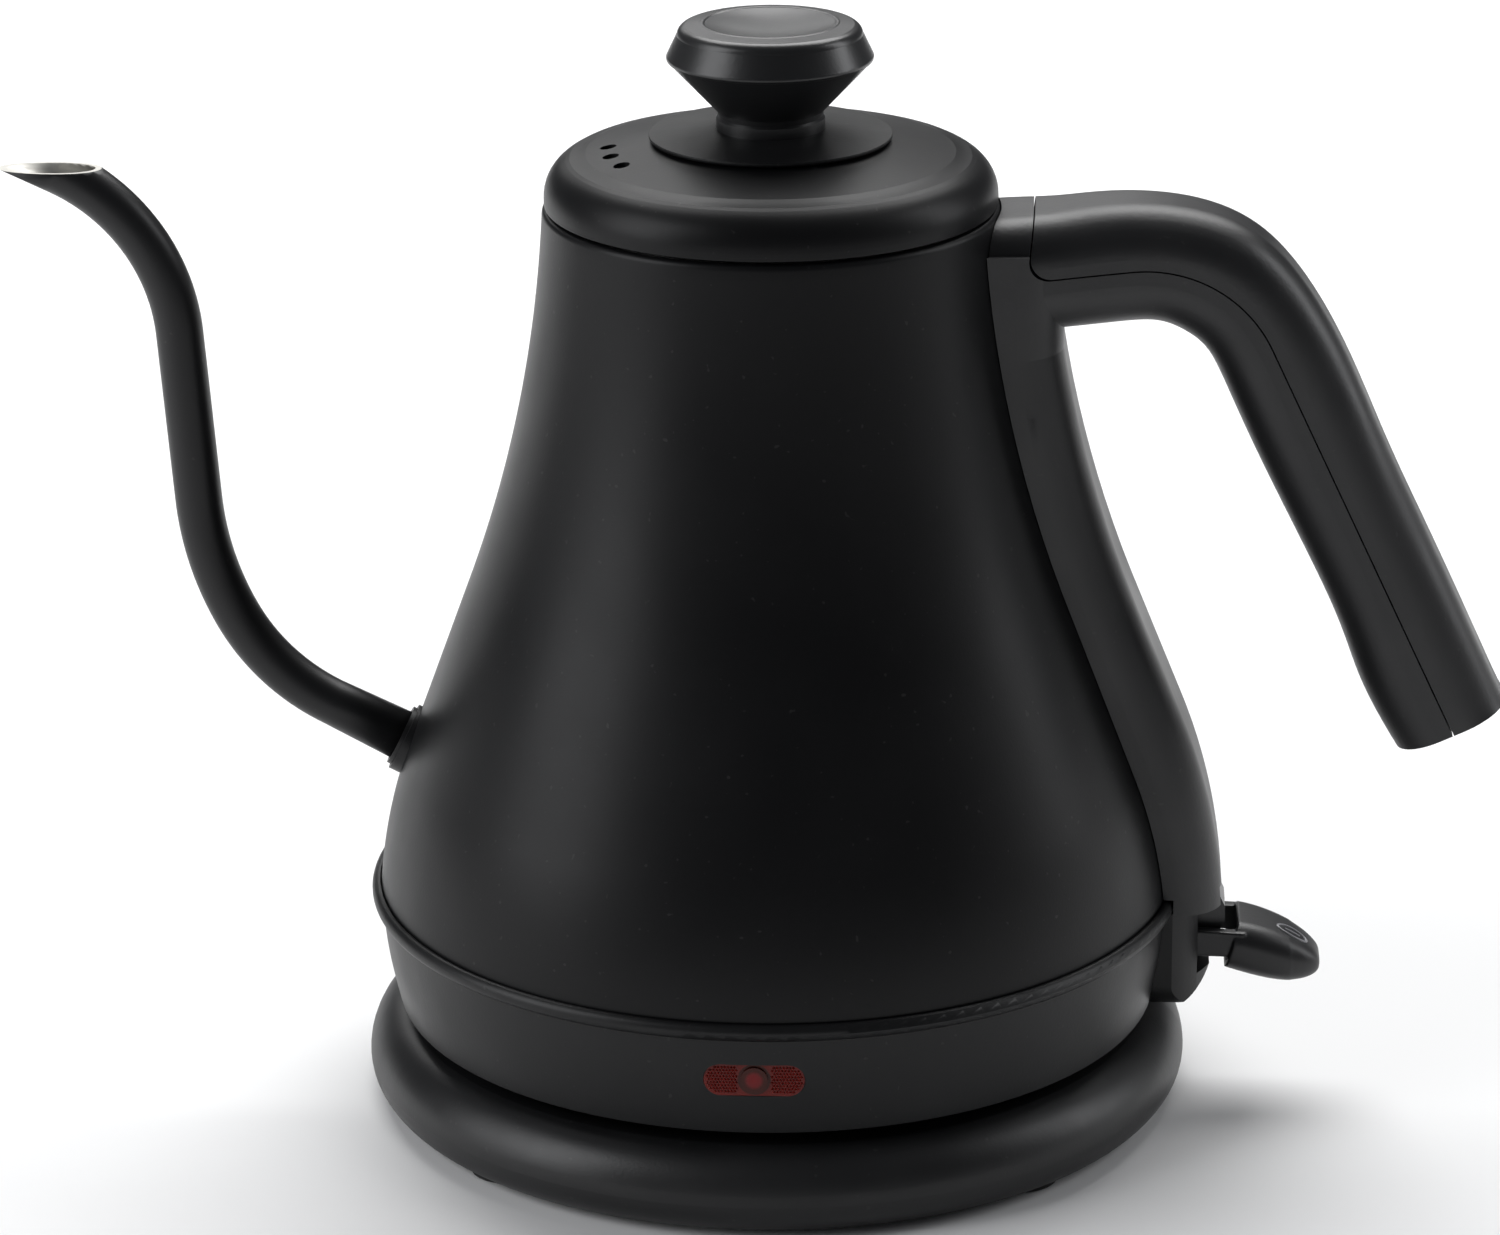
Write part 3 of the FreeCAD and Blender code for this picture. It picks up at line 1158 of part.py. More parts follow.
base_screw_seat = dim.foot_height + 0.2
cover_screw_seat = dim.skirt_bottom_z - 0.05
parts = [
    base_shell(), base_plate(), base_socket(), base_terminals(), cord_inlet(),
    *[base_foot(index) for index in range(4)],
    screw_set("base_screws", dim.base_boss_circle, 4, base_screw_seat, 3.0, 1.1,
              dim.base_screw_radius - 0.02, 7.5),
    coupler_housing(), coupler_pin(),
    coupler_ring("coupler_ring_inner", dim.inner_ring_radius),
    coupler_ring("coupler_ring_outer", dim.outer_ring_radius),
    skirt(), bottom_cover(),
    screw_set("cover_screws", dim.cover_screw_circle, 3, cover_screw_seat - 1.2, 3.0, 1.2, 1.38, 8.0, 60.0),
    switch_module(), switch_bracket(), lever_pin(), switch_lever(),
    indicator_lens(), indicator_lamp(), lamp_holder(),
    body_shell(), floor_pan(), heater_plate(), heating_element(),
    element_pin("element_pin_left", 16.0), element_pin("element_pin_right", -16.0),
    thermostat_control(), control_disc(),
    spout_tube(), spout_collar(), spout_filter(),
    handle_frame(), handle_cover(),
    handle_screw("handle_screw_upper", HANDLE_SCREWS[0]),
    handle_screw("handle_screw_lower", HANDLE_SCREWS[1]),
    bracket("handle_bracket", 49.5, 159.0, 173.0, 7.0),
    bracket("spine_bracket", 81.5, 54.0, 66.0, 9.0, 7.0),
    steam_tube(),
    lid_shell(), lid_cup(), lid_seal(), knob_flange(), knob(), knob_screw(), knob_washer(),
]
doc.recompute()

for item in doc.Objects:
    if "Invalid" in item.State or "Error" in item.State:
        raise RuntimeError(f"{item.Label} failed: {item.State}")
for part in parts:
    if part.Shape.isNull() or not part.Shape.isValid() or not part.Shape.Solids:
        raise RuntimeError(f"{part.Label} has no valid solid")
    part.Shape.exportStep(f"parts/{part.Label}.step")
    print(part.Label, len(part.Shape.Solids), round(part.Shape.Volume, 1))
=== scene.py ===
import bmesh
import bpy
import math
from mathutils import Euler, Matrix, Vector
from mathutils.bvhtree import BVHTree


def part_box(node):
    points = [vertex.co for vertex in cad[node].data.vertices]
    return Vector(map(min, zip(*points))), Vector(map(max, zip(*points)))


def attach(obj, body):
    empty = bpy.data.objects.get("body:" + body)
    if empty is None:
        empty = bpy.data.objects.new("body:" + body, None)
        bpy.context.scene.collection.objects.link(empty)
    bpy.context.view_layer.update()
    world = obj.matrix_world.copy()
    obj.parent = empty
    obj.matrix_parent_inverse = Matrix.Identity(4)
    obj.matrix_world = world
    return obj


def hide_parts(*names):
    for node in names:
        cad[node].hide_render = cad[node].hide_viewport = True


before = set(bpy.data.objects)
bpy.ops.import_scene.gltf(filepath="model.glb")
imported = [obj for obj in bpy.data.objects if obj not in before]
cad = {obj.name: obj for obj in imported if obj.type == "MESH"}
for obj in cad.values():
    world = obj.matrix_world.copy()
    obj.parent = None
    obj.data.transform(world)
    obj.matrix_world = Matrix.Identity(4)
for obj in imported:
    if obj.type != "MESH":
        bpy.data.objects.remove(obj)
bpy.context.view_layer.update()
scene = bpy.context.scene


# Viewpoint -----------------------------------------------------------------
# A long lens in front of the signal lamp, a little to the right, looking
# down on the kettle by about twenty degrees.

lens_data = bpy.data.cameras.new("viewpoint")
lens_data.lens = 134.1
lens_data.sensor_width = 36.0
lens_data.clip_end = 20.0
viewpoint = bpy.data.objects.new("viewpoint", lens_data)
viewpoint.location = (0.0583, -1.0424, 0.4667)
viewpoint.rotation_euler = Euler([math.radians(angle) for angle in (70.519, 0.454, 3.301)])
scene.collection.objects.link(viewpoint)
scene.camera = viewpoint


# Power base ----------------------------------------------------------------
# The moulding with the shallow dish, the plate under it and the cord inlet:
# black plastic with a fine spark-eroded grain that dulls its shine.


def new_material(name):
    """A material with nodes, its node and link lists, and its shader."""
    material = bpy.data.materials.new(name)
    material.use_nodes = True
    tree = material.node_tree
    return material, tree.nodes, tree.links, tree.nodes["Principled BSDF"]


def noise_at(nodes, links, source, scale, detail=3.0):
    """A noise pattern that runs from 0 to 1."""
    noise = nodes.new("ShaderNodeTexNoise")
    noise.inputs["Scale"].default_value = scale
    noise.inputs["Detail"].default_value = detail
    links.new(source, noise.inputs["Vector"])
    return noise.outputs["Fac"]


def spread(nodes, links, factor, low, high, start=0.3, stop=0.7):
    """Stretch a noise to run from one value to another."""
    stretch = nodes.new("ShaderNodeMapRange")
    stretch.inputs["From Min"].default_value = start
    stretch.inputs["From Max"].default_value = stop
    stretch.inputs["To Min"].default_value = low
    stretch.inputs["To Max"].default_value = high
    links.new(factor, stretch.inputs["Value"])
    return stretch.outputs["Result"]


def colour_between(nodes, links, factor, first, second):
    """Mix two colours by a pattern."""
    mix = nodes.new("ShaderNodeMix")
    mix.data_type = "RGBA"
    mix.inputs["A"].default_value = (*first, 1.0)
    mix.inputs["B"].default_value = (*second, 1.0)
    links.new(factor, mix.inputs["Factor"])
    return mix.outputs["Result"]


def moulded(name, colour, roughness, grain, depth, uneven=0.05, level=0.5):
    """Plastic, rubber or coating with slow changes of tone and gloss, fine grain and specks of dust."""
    material, nodes, links, shader = new_material(name)
    place = nodes.new("ShaderNodeTexCoord").outputs["Object"]
    clouds = noise_at(nodes, links, place, 22.0)
    lighter = tuple(part * 1.5 for part in colour)
    tone = colour_between(nodes, links, clouds, colour, lighter)
    dust = spread(nodes, links, noise_at(nodes, links, place, 900.0, 0.0), 0.0, 1.0, 0.80, 0.86)
    speck = nodes.new("ShaderNodeMix")
    speck.data_type = "RGBA"
    speck.inputs["B"].default_value = (0.018, 0.018, 0.018, 1.0)
    links.new(dust, speck.inputs["Factor"])
    links.new(tone, speck.inputs["A"])
    links.new(speck.outputs["Result"], shader.inputs["Base Color"])
    patches = noise_at(nodes, links, place, 45.0)
    gloss = spread(nodes, links, patches, roughness - uneven, roughness + uneven)
    links.new(gloss, shader.inputs["Roughness"])
    bump = nodes.new("ShaderNodeBump")
    bump.inputs["Strength"].default_value = 0.35
    bump.inputs["Distance"].default_value = depth
    links.new(noise_at(nodes, links, place, grain, 2.0), bump.inputs["Height"])
    links.new(bump.outputs["Normal"], shader.inputs["Normal"])
    shader.inputs["Specular IOR Level"].default_value = level
    return material


def finish_in(material, *names):
    """Give CAD nodes their finish."""
    for name in names:
        mesh = cad[name].data
        mesh.materials.clear()
        mesh.materials.append(material)


base_plastic = moulded("base_moulding", (0.0052, 0.0053, 0.0058), 0.42, 1500.0, 0.00006)
finish_in(base_plastic, "base_shell", "base_plate", "cord_inlet")

foot_rubber = moulded("foot_rubber", (0.018, 0.018, 0.018), 0.8, 700.0, 0.0001, level=0.3)
finish_in(foot_rubber, "base_foot_1", "base_foot_2", "base_foot_3", "base_foot_4")


# Coaxial connector -----------------------------------------------------------
# A plain dark tower on the base and its cup under the kettle, with brass
# blades, pin and rings.


def metal(name, colour, roughness, scratch, stretch, depth=0.00002):
    """Bare metal with fine marks drawn out along one direction of the object."""
    material, nodes, links, shader = new_material(name)
    place = nodes.new("ShaderNodeTexCoord").outputs["Object"]
    drawn = nodes.new("ShaderNodeMapping")
    drawn.inputs["Scale"].default_value = stretch
    links.new(place, drawn.inputs["Vector"])
    marks = noise_at(nodes, links, drawn.outputs["Vector"], scratch)
    darker = tuple(part * 0.82 for part in colour)
    links.new(colour_between(nodes, links, marks, darker, colour), shader.inputs["Base Color"])
    links.new(spread(nodes, links, marks, roughness - 0.08, roughness + 0.08), shader.inputs["Roughness"])
    bump = nodes.new("ShaderNodeBump")
    bump.inputs["Strength"].default_value = 0.3
    bump.inputs["Distance"].default_value = depth
    links.new(marks, bump.inputs["Height"])
    links.new(bump.outputs["Normal"], shader.inputs["Normal"])
    shader.inputs["Metallic"].default_value = 1.0
    return material


connector_plastic = moulded("connector_moulding", (0.03, 0.03, 0.032), 0.5, 1100.0, 0.00006)
finish_in(connector_plastic, "base_socket", "coupler_housing", "thermostat_control", "lamp_holder")

brass = metal("contact_brass", (0.78, 0.57, 0.26), 0.28, 260.0, (1.0, 1.0, 9.0))
finish_in(brass, "base_terminals", "coupler_pin", "coupler_ring_inner", "coupler_ring_outer")


# Skirt, underside and switch housing -----------------------------------------
# One black moulding with a rounded bead under the body, its cover, and the
# bracket and module of the steam switch inside the bulge.

skirt_plastic = moulded("skirt_moulding", (0.0045, 0.0046, 0.0050), 0.42, 1500.0, 0.00006, level=0.3)
finish_in(skirt_plastic, "skirt", "bottom_cover", "switch_bracket")

module_plastic = moulded("module_moulding", (0.02, 0.02, 0.021), 0.33, 1300.0, 0.00004)
finish_in(module_plastic, "switch_module")

screw_steel = metal("screw_steel", (0.55, 0.55, 0.56), 0.32, 500.0, (1.0, 1.0, 1.0))
finish_in(screw_steel, "base_screws", "cover_screws", "lever_pin", "handle_screw_upper",
          "handle_screw_lower", "knob_screw", "knob_washer", "element_pin_left", "element_pin_right")


# Signal lens -----------------------------------------------------------------
# Dark red clear plastic, moulded with small pyramids at both ends and a round
# eye in the middle, over a neon bulb.

red_clear, nodes, links, shader = new_material("red_clear_moulding")
place = nodes.new("ShaderNodeTexCoord").outputs["Object"]
lens_low, lens_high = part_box("indicator_lens")
lens_middle = (lens_low + lens_high) / 2
centred = nodes.new("ShaderNodeMapping")
centred.inputs["Location"].default_value = (-lens_middle.x, 0.0, -lens_middle.z)
centred.inputs["Scale"].default_value = (1.0, 0.0, 1.0)
links.new(place, centred.inputs["Vector"])
reach = nodes.new("ShaderNodeVectorMath")
reach.operation = "LENGTH"
links.new(centred.outputs["Vector"], reach.inputs[0])
within = spread(nodes, links, reach.outputs["Value"], 0.0, 1.0, 0.0, 0.004)
eye = nodes.new("ShaderNodeValToRGB")
eye.color_ramp.elements[0].color = (0.20, 0.008, 0.009, 1.0)
eye.color_ramp.elements[1].position = 0.82
eye.color_ramp.elements[1].color = (0.16, 0.013, 0.009, 1.0)
eye.color_ramp.elements.new(0.30).color = (0.17, 0.010, 0.011, 1.0)
for position in (0.48, 0.76):
    eye.color_ramp.elements.new(position).color = (0.055, 0.010, 0.006, 1.0)
links.new(within, eye.inputs["Fac"])
cloudy = nodes.new("ShaderNodeMix")
cloudy.data_type = "RGBA"
cloudy.blend_type = "MULTIPLY"
cloudy.inputs["Factor"].default_value = 1.0
streaks = noise_at(nodes, links, place, 260.0)
links.new(eye.outputs["Color"], cloudy.inputs["A"])
links.new(colour_between(nodes, links, streaks, (0.75, 0.75, 0.75), (1.0, 1.0, 1.0)), cloudy.inputs["B"])
links.new(cloudy.outputs["Result"], shader.inputs["Base Color"])
links.new(spread(nodes, links, streaks, 0.16, 0.26), shader.inputs["Roughness"])
shader.inputs["IOR"].default_value = 1.49
shader.inputs["Specular IOR Level"].default_value = 0.22
finish_in(red_clear, "indicator_lens")

bulb_glass, nodes, links, shader = new_material("bulb_glass")
place = nodes.new("ShaderNodeTexCoord").outputs["Object"]
haze = noise_at(nodes, links, place, 300.0)
glow = colour_between(nodes, links, haze, (0.9, 0.5, 0.35), (1.0, 0.7, 0.6))
links.new(glow, shader.inputs["Base Color"])
shader.inputs["Roughness"].default_value = 0.08
shader.inputs["Transmission Weight"].default_value = 0.8
finish_in(bulb_glass, "indicator_lamp")


def node_tree(name, inputs):
    """An empty Geometry Nodes tree with a geometry input, named inputs and a geometry output."""
    tree = bpy.data.node_groups.new(name, "GeometryNodeTree")
    tree.interface.new_socket("Geometry", in_out="OUTPUT", socket_type="NodeSocketGeometry")
    tree.interface.new_socket("Geometry", in_out="INPUT", socket_type="NodeSocketGeometry")
    for label, kind in inputs:
        tree.interface.new_socket(label, in_out="INPUT", socket_type=kind)
    return tree, tree.nodes.new("NodeGroupInput"), tree.nodes.new("NodeGroupOutput")


def placed(name, data):
    """An object for a mesh, curve or light, in the scene."""
    thing = bpy.data.objects.new(name, data)
    scene.collection.objects.link(thing)
    return thing


def grown(name, data, tree, values):
    """Run a tree on a curve or mesh, and return the plain mesh object that it makes."""
    seed = placed(f"{name}_seed", data)
    modifier = seed.modifiers.new("grow", "NODES")
    modifier.node_group = tree
    entries = [item for item in tree.interface.items_tree if item.in_out == "INPUT"]
    sockets = {entry.name: entry.identifier for entry in entries}
    for label, value in values.items():
        modifier[sockets[label]] = value
    bpy.context.view_layer.update()
    graph = bpy.context.evaluated_depsgraph_get()
    mesh = bpy.data.meshes.new_from_object(seed.evaluated_get(graph), depsgraph=graph)
    seed.modifiers.remove(modifier)
    bpy.data.objects.remove(seed)
    return placed(name, mesh)


def end_tree(tree, ends, geometry, material):
    """Finish a tree with Realize Instances and Set Material."""
    realize = tree.nodes.new("GeometryNodeRealizeInstances")
    paint = tree.nodes.new("GeometryNodeSetMaterial")
    paint.inputs["Material"].default_value = material
    tree.links.new(geometry, realize.inputs["Geometry"])
    tree.links.new(realize.outputs["Geometry"], paint.inputs["Geometry"])
    tree.links.new(paint.outputs["Geometry"], ends.inputs["Geometry"])


lens_radius = (lens_high.z - lens_low.z) / 2
lens_straight = (lens_high.x - lens_low.x) / 2 - lens_radius
dome_height, plain_middle, pyramid, pyramid_height = 0.0005, 0.0034, 0.00062, 0.0004
lens_face = lens_low.y + dome_height
spots = []
for row in range(-4, 5):
    for column in range(-16, 17):
        across = column * pyramid + (row % 2) * pyramid / 2
        up = row * pyramid
        past_straight = max(0.0, abs(across) - lens_straight)
        inside = math.hypot(past_straight, up) < lens_radius - pyramid * 0.7
        if inside and abs(across) > plain_middle:
            spots.append((lens_middle.x + across, lens_face, lens_middle.z + up))
points = bpy.data.meshes.new("pyramid_places")
points.from_pydata(spots, [], [])
pyramid_sizes = [("Width", "NodeSocketFloat"), ("Height", "NodeSocketFloat")]
tree, start, ends = node_tree("lens_pyramids", pyramid_sizes)
cone = tree.nodes.new("GeometryNodeMeshCone")
cone.inputs["Vertices"].default_value = 4
place_cones = tree.nodes.new("GeometryNodeInstanceOnPoints")
place_cones.inputs["Rotation"].default_value = (math.pi / 2, 0.0, 0.0)
tree.links.new(start.outputs["Width"], cone.inputs["Radius Bottom"])
tree.links.new(start.outputs["Height"], cone.inputs["Depth"])
tree.links.new(start.outputs["Geometry"], place_cones.inputs["Points"])
tree.links.new(cone.outputs["Mesh"], place_cones.inputs["Instance"])
end_tree(tree, ends, place_cones.outputs["Instances"], red_clear)
knurl = grown("lens_pyramids", points, tree, {"Width": pyramid * 0.55, "Height": pyramid_height})
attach(knurl, "kettle")


# Body --------------------------------------------------------------------------
# Thin deep-drawn steel under a satin black baked coating. Its outline is one
# outward arc, a straight run and one inward arc, turned about the axis.

coated = moulded("baked_coating", (0.0030, 0.0031, 0.0035), 0.40, 2200.0, 0.00004, uneven=0.03,
                level=0.2)

foot_radius, foot_z = 0.0792, 0.044
belly_radius, belly_z, belly_arc = 0.07336, 0.070, 0.100
waist_radius, waist_z, neck_arc = 0.0600, 0.106, 0.261
neck_radius, neck_z = 0.04435, 0.181
rim_z, rim_arc, rim_inset, mouth_radius = 0.1822, 0.0012, 0.0011, 0.0416
sheet = 0.0008
shell_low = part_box("body_shell")[0]


def arc_point(start, end, radius, share):
    """Point on the shorter arc between two places; a negative radius bends the other way."""
    first, last = Vector(start), Vector(end)
    chord = last - first
    reach = math.sqrt(radius ** 2 - (chord.length / 2) ** 2)
    side = Vector((-chord.y, chord.x)).normalized()
    centre = (first + last) / 2 + side * math.copysign(reach, radius)
    turn = 2 * math.asin(chord.length / 2 / radius)
    return centre + Matrix.Rotation(turn * share, 2) @ (first - centre)


def arc_points(start, end, radius, steps, first=0):
    """Points along an arc, from one of its steps to its end."""
    return [arc_point(start, end, radius, step / steps) for step in range(first, steps + 1)]


outline = [Vector((foot_radius, shell_low.z))]
outline += arc_points((foot_radius, foot_z), (belly_radius, belly_z), belly_arc, 16)
outline += arc_points((waist_radius, waist_z), (neck_radius, neck_z), -neck_arc, 36)
outline += arc_points((neck_radius, neck_z), (neck_radius - rim_inset, rim_z), rim_arc, 5, first=1)
outline += [Vector((mouth_radius, rim_z + 0.00001))]


def wire(name, runs):
    """A curve of straight runs; each run is its places, their radii, and whether it closes."""
    curve = bpy.data.curves.new(name, "CURVE")
    curve.dimensions = "3D"
    for places, radii, closed in runs:
        run = curve.splines.new("POLY")
        run.points.add(len(places) - 1)
        run.use_cyclic_u = closed
        for point, place, radius in zip(run.points, places, radii):
            point.co = (*place, 1.0)
            point.radius = radius
    return curve


def sweep_tree(name, material):
    """A tree that carries a circle along a curve, as wide as the curve's radius less an inset."""
    tree, start, ends = node_tree(name, [("Segments", "NodeSocketInt"), ("Inset", "NodeSocketFloat")])
    circle = tree.nodes.new("GeometryNodeCurvePrimitiveCircle")
    circle.inputs["Radius"].default_value = 1.0
    wall = tree.nodes.new("GeometryNodeCurveToMesh")
    width = tree.nodes.new("GeometryNodeInputRadius")
    less = tree.nodes.new("ShaderNodeMath")
    less.operation = "SUBTRACT"
    tree.links.new(width.outputs["Radius"], less.inputs[0])
    tree.links.new(start.outputs["Inset"], less.inputs[1])
    tree.links.new(start.outputs["Segments"], circle.inputs["Resolution"])
    tree.links.new(start.outputs["Geometry"], wall.inputs["Curve"])
    tree.links.new(circle.outputs["Curve"], wall.inputs["Profile Curve"])
    tree.links.new(less.outputs["Value"], wall.inputs["Scale"])
    end_tree(tree, ends, wall.outputs["Mesh"], material)
    return tree


heights = [(0.0, 0.0, place.y) for place in outline]
radii = [place.x for place in outline]
body_line = wire("body_outline", [(heights, radii, False)])
body_tree = sweep_tree("turned_wall", coated)
body = grown("body_wall", body_line, body_tree, {"Segments": 256, "Inset": 0.0})
for face in body.data.polygons:
    face.use_smooth = True


def outwards(piece):
    """Turn the faces of a shape so that they point away from the axis."""
    mesh = piece.data
    side = mesh.polygons[len(mesh.polygons) // 3]
    if side.normal.dot(Vector((side.center.x, side.center.y, 0.0))) < 0:
        mesh.flip_normals()


outwards(body)
bare_steel = metal("bare_steel", (0.62, 0.61, 0.60), 0.34, 320.0, (1.0, 1.0, 14.0))
body.data.materials.append(bare_steel)
thick = body.modifiers.new("steel", "SOLIDIFY")
thick.thickness = sheet
thick.offset = -1.0
thick.use_even_offset = False
thick.material_offset = 1
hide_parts("body_shell")
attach(body, "kettle")


# Floor and heater ------------------------------------------------------------
# Plain steel pan inside the body, an aluminium spreader under it and the
# sheathed element.

finish_in(bare_steel, "floor_pan", "lid_cup", "spout_filter", "handle_bracket", "spine_bracket",
          "control_disc")

dull_aluminium = metal("dull_aluminium", (0.52, 0.52, 0.53), 0.5, 160.0, (1.0, 1.0, 2.0))
finish_in(dull_aluminium, "heater_plate", "heating_element")


# Spout -----------------------------------------------------------------------
# Drawn steel tube: a short cone, then even bends up and over, cut level at the
# mouth. Coated outside; the bore and the cut edge are bare and bright.

spout_coating = moulded("spout_coating", (0.0055, 0.0056, 0.0062), 0.42, 2200.0, 0.00004,
                        uneven=0.03, level=0.35)
finish_in(spout_coating, "spout_collar")

bright_steel = metal("brushed_steel", (0.52, 0.51, 0.48), 0.58, 420.0, (1.0, 1.0, 6.0))

spout_root = Vector((-0.0738, 0.0, 0.0709))
spout_pull = 0.0165
spout_heading = math.radians(153.0)
spout_bends = ((0.0428, -35.7), (0.0619, -23.3))
spout_rise = 0.0343
spout_nose = (0.039, 61.0)
spout_lip = 0.020
spout_root_radius, spout_radius, spout_wall = 0.0051, 0.00465, 0.0007
mouth_z = 0.1882


def walk(place, heading, length):
    """Go straight on."""
    return place + Vector((math.cos(heading), 0.0, math.sin(heading))) * length


def bend(place, heading, radius, degrees, steps):
    """Go round an even bend, clockwise for a negative angle; give its points and the new heading."""
    side = math.copysign(math.pi / 2, degrees)
    centre = walk(place, heading + side, radius)
    turns = [math.radians(degrees) * step / steps for step in range(1, steps + 1)]
    places = [walk(centre, heading + turn - side, radius) for turn in turns]
    return places, heading + math.radians(degrees)


line = [spout_root, walk(spout_root, spout_heading, spout_pull)]
heading = spout_heading
for radius, degrees in spout_bends:
    bent, heading = bend(line[-1], heading, radius, degrees, 20)
    line += bent
line.append(walk(line[-1], heading, spout_rise))
bent, heading = bend(line[-1], heading, *spout_nose, 28)
line += bent
line.append(walk(line[-1], heading, spout_lip))

radii = []
travelled = 0.0
for index, place in enumerate(line):
    if index:
        travelled += (place - line[index - 1]).length
    narrowing = min(1.0, travelled / spout_pull)
    radii.append(spout_root_radius + (spout_radius - spout_root_radius) * narrowing)

spout_line = wire("spout_line", [(line, radii, False)])
tube_tree = sweep_tree("drawn_tube", spout_coating)
outer = grown("spout_outside", spout_line, tube_tree, {"Segments": 64, "Inset": 0.0})
inner = grown("spout_bore", spout_line, tube_tree, {"Segments": 64, "Inset": spout_wall})


def facing(shape, outward, steps):
    """Point the faces of an open tube away from its middle line, or towards it."""
    for face in shape.faces:
        middle = face.calc_center_median()
        nearest = min(steps, key=lambda place: (place - middle).length)
        away = (middle - nearest).dot(face.normal) > 0
        if away != outward:
            face.normal_flip()


tube = bmesh.new()
for piece, outward in ((outer, True), (inner, False)):
    part = bmesh.new()
    part.from_mesh(piece.data)
    facing(part, outward, line)
    for face in part.faces:
        face.material_index = 0 if outward else 1
        face.smooth = True
    half = bpy.data.meshes.new("spout_half")
    part.to_mesh(half)
    part.free()
    tube.from_mesh(half)
    bpy.data.meshes.remove(half)
    bpy.data.objects.remove(piece)
everything = tube.verts[:] + tube.edges[:] + tube.faces[:]
bmesh.ops.bisect_plane(tube, geom=everything, plane_co=(0, 0, mouth_z), plane_no=(0, 0, 1),
                       clear_outer=True)
for wanted in (Vector((0, 0, 1)), walk(Vector(), spout_heading, -1.0)):
    at_mouth = wanted.z > 0.9
    ring = [edge for edge in tube.edges
            if edge.is_boundary and (edge.verts[0].co.z > mouth_z - 0.0001) == at_mouth]
    rim = bmesh.ops.triangle_fill(tube, edges=ring, use_beauty=True)["geom"]
    for face in rim:
        if isinstance(face, bmesh.types.BMFace):
            face.material_index = 1
            if face.normal.dot(wanted) < 0:
                face.normal_flip()
spout_mesh = bpy.data.meshes.new("spout_drawn_tube")
tube.to_mesh(spout_mesh)
tube.free()
spout_mesh.materials.append(spout_coating)
spout_mesh.materials.append(bright_steel)
spout = placed("spout_drawn_tube", spout_mesh)
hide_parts("spout_tube")
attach(spout, "kettle")


# Handle ------------------------------------------------------------------------
# Two glass-filled mouldings screwed together round the grip; the inner one runs
# on down the body as the spine. Satin black with a slightly open grain.

handle_plastic = moulded("handle_moulding", (0.0070, 0.0071, 0.0078), 0.42, 1300.0, 0.00007)
finish_in(handle_plastic, "handle_frame", "handle_cover")


# Lever -------------------------------------------------------------------------
# Moulded in one with its two arms, of the handle's plastic. Its nose is round,
# and a raised oval with a bar tells the thumb where to press.

lever_grid, nose_start, nose_rounds = 0.00030, 0.1035, 60


def smooth(shape, vertices):
    """Ease vertices half way towards their neighbours."""
    bmesh.ops.smooth_vert(shape, verts=vertices, factor=0.5, use_axis_x=True, use_axis_y=True,
                          use_axis_z=True)


moulding = bmesh.new()
moulding.from_mesh(cad["switch_lever"].data)
bmesh.ops.remove_doubles(moulding, verts=moulding.verts, dist=0.000002)
lever_mesh = bpy.data.meshes.new("lever_moulding")
moulding.to_mesh(lever_mesh)
moulding.free()
rough_lever = placed("lever_rough", lever_mesh)
remesh = rough_lever.modifiers.new("grid", "REMESH")
remesh.mode = "VOXEL"
remesh.voxel_size = lever_grid
remesh.use_smooth_shade = True
bpy.context.view_layer.update()
graph = bpy.context.evaluated_depsgraph_get()
lever_mesh = bpy.data.meshes.new_from_object(rough_lever.evaluated_get(graph), depsgraph=graph)
bpy.data.objects.remove(rough_lever)
moulding = bmesh.new()
moulding.from_mesh(lever_mesh)
nose = [vertex for vertex in moulding.verts if vertex.co.x > nose_start]
for _ in range(nose_rounds):
    smooth(moulding, nose)
smooth(moulding, moulding.verts)
moulding.to_mesh(lever_mesh)
moulding.free()
lever_mesh.materials.clear()
lever_mesh.materials.append(handle_plastic)
lever = placed("lever_moulding", lever_mesh)
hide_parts("switch_lever")
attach(lever, "lever")

# The raised oval and bar are coloured pale grey: a painted highlight for the light their ridges catch on
# the black plastic.
sign_painted_highlight = moulded("sign_painted_highlight_moulding", (0.17, 0.17, 0.18), 0.3, 900.0, 0.00003)
lever_top = BVHTree.FromPolygons([vertex.co for vertex in lever_mesh.vertices],
                                 [tuple(face.vertices) for face in lever_mesh.polygons])
sign_x, sign_y = 0.1038, -0.0015
sign_length, sign_width, sign_bar, sign_line = 0.0029, 0.0020, 0.0015, 0.00028


def on_lever(x, y):
    """Point on the sloping top of the lever."""
    return lever_top.ray_cast(Vector((x, y, 0.06)), Vector((0, 0, -1)))[0]


ring = []
for step in range(40):
    turn = math.tau * step / 40
    ring.append(on_lever(sign_x + sign_length * math.cos(turn), sign_y + sign_width * math.sin(turn)))
bar = [on_lever(sign_x + sign_bar * (step / 5 - 1), sign_y) for step in range(11)]
sign_runs = [(ring, [sign_line] * len(ring), True), (bar, [sign_line] * len(bar), False)]
sign = grown("lever_sign", wire("lever_sign", sign_runs), tube_tree, {"Segments": 8, "Inset": 0.0})
sign.data.materials.clear()
sign.data.materials.append(sign_painted_highlight)
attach(sign, "lever")


# Knob ----------------------------------------------------------------------------
# Moulded knob with a dished top, held through the lid by one screw, and the thin
# flange under it, of the knob's plastic made darker and duller as painted shade from the knob above.

knob_plastic = moulded("knob_moulding", (0.0080, 0.0082, 0.0088), 0.34, 1500.0, 0.00005)
finish_in(knob_plastic, "knob")

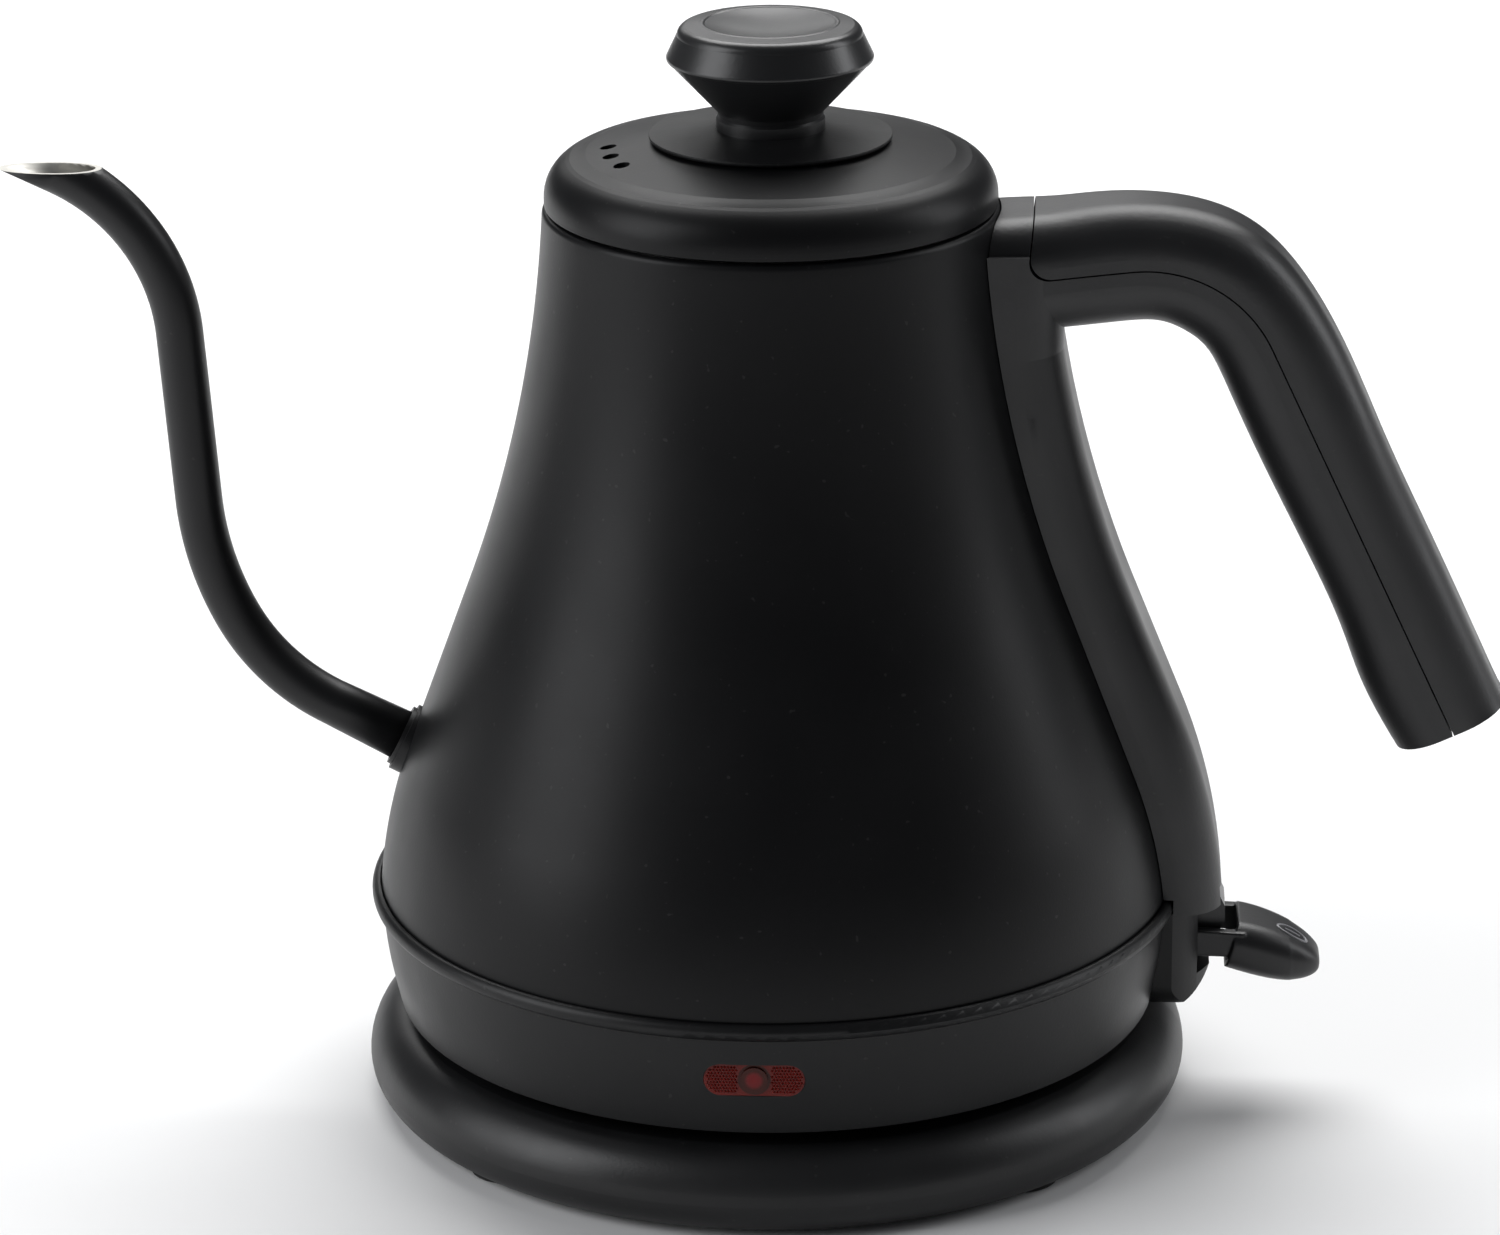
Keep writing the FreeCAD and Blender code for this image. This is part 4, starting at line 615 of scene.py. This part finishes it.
# Painted shade: the knob's plastic with a darker colour and less gloss, standing for the knob's shadow on
# the flange.
shaded_flange_plastic = moulded("flange_painted_shade_moulding", (0.0060, 0.0062, 0.0066), 0.50, 1500.0, 0.00006, level=0.2)
finish_in(shaded_flange_plastic, "knob_flange")


# Lid ---------------------------------------------------------------------------
# Coated steel dome over a bare cup, with a pale silicone seal; the steam tube in
# the handle is of the same silicone.

finish_in(coated, "lid_shell")

silicone = moulded("pale_silicone", (0.42, 0.42, 0.40), 0.55, 500.0, 0.0001, level=0.4)
finish_in(silicone, "lid_seal", "steam_tube")


# Studio ------------------------------------------------------------------------
# A wide pale floor just under the feet, a large soft light on each side, one
# overhead and a weak one behind.

floor_z = -0.0002
corners = [(-6, -6, floor_z), (6, -6, floor_z), (6, 10, floor_z), (-6, 10, floor_z)]
floor_mesh = bpy.data.meshes.new("studio_floor")
floor_mesh.from_pydata(corners, [], [(0, 1, 2, 3)])
floor = placed("studio_floor", floor_mesh)
paper, nodes, links, shader = new_material("pale_paper")
place = nodes.new("ShaderNodeTexCoord").outputs["Object"]
mottle = noise_at(nodes, links, place, 3.0)
tone = colour_between(nodes, links, mottle, (0.86, 0.86, 0.86), (0.89, 0.89, 0.89))
links.new(tone, shader.inputs["Base Color"])
shader.inputs["Roughness"].default_value = 0.9
shader.inputs["Specular IOR Level"].default_value = 0.1
floor_mesh.materials.append(paper)

world = bpy.data.worlds.new("studio")
world.use_nodes = True
world.node_tree.nodes["Background"].inputs["Color"].default_value = (0.92, 0.94, 1.0, 1.0)
world.node_tree.nodes["Background"].inputs["Strength"].default_value = 0.08
scene.world = world


def soft_light(name, place, towards, size, power, colour=(1.0, 1.0, 1.0)):
    """A rectangular lamp that faces a point."""
    data = bpy.data.lights.new(name, "AREA")
    data.shape = "RECTANGLE"
    data.size, data.size_y = size
    data.energy = power
    data.color = colour
    lamp = placed(name, data)
    lamp.location = place
    lamp.rotation_euler = (Vector(towards) - Vector(place)).to_track_quat("-Z", "Y").to_euler()


soft_light("left_box", (-1.3, -0.5, 0.75), (0, 0, 0.1), (0.9, 1.2), 14.0, (0.97, 0.98, 1.0))
soft_light("right_box", (1.5, 0.3, 0.8), (0, 0, 0.1), (0.5, 1.2), 8.0, (0.97, 0.98, 1.0))
soft_light("overhead", (0.0, 1.5, 2.3), (0, 0.3, 0), (3.0, 1.6), 95.0)
soft_light("back_box", (-0.6, 2.6, 1.1), (0, 0, 0.2), (1.6, 0.6), 5.0)

scene.view_settings.view_transform = "Standard"
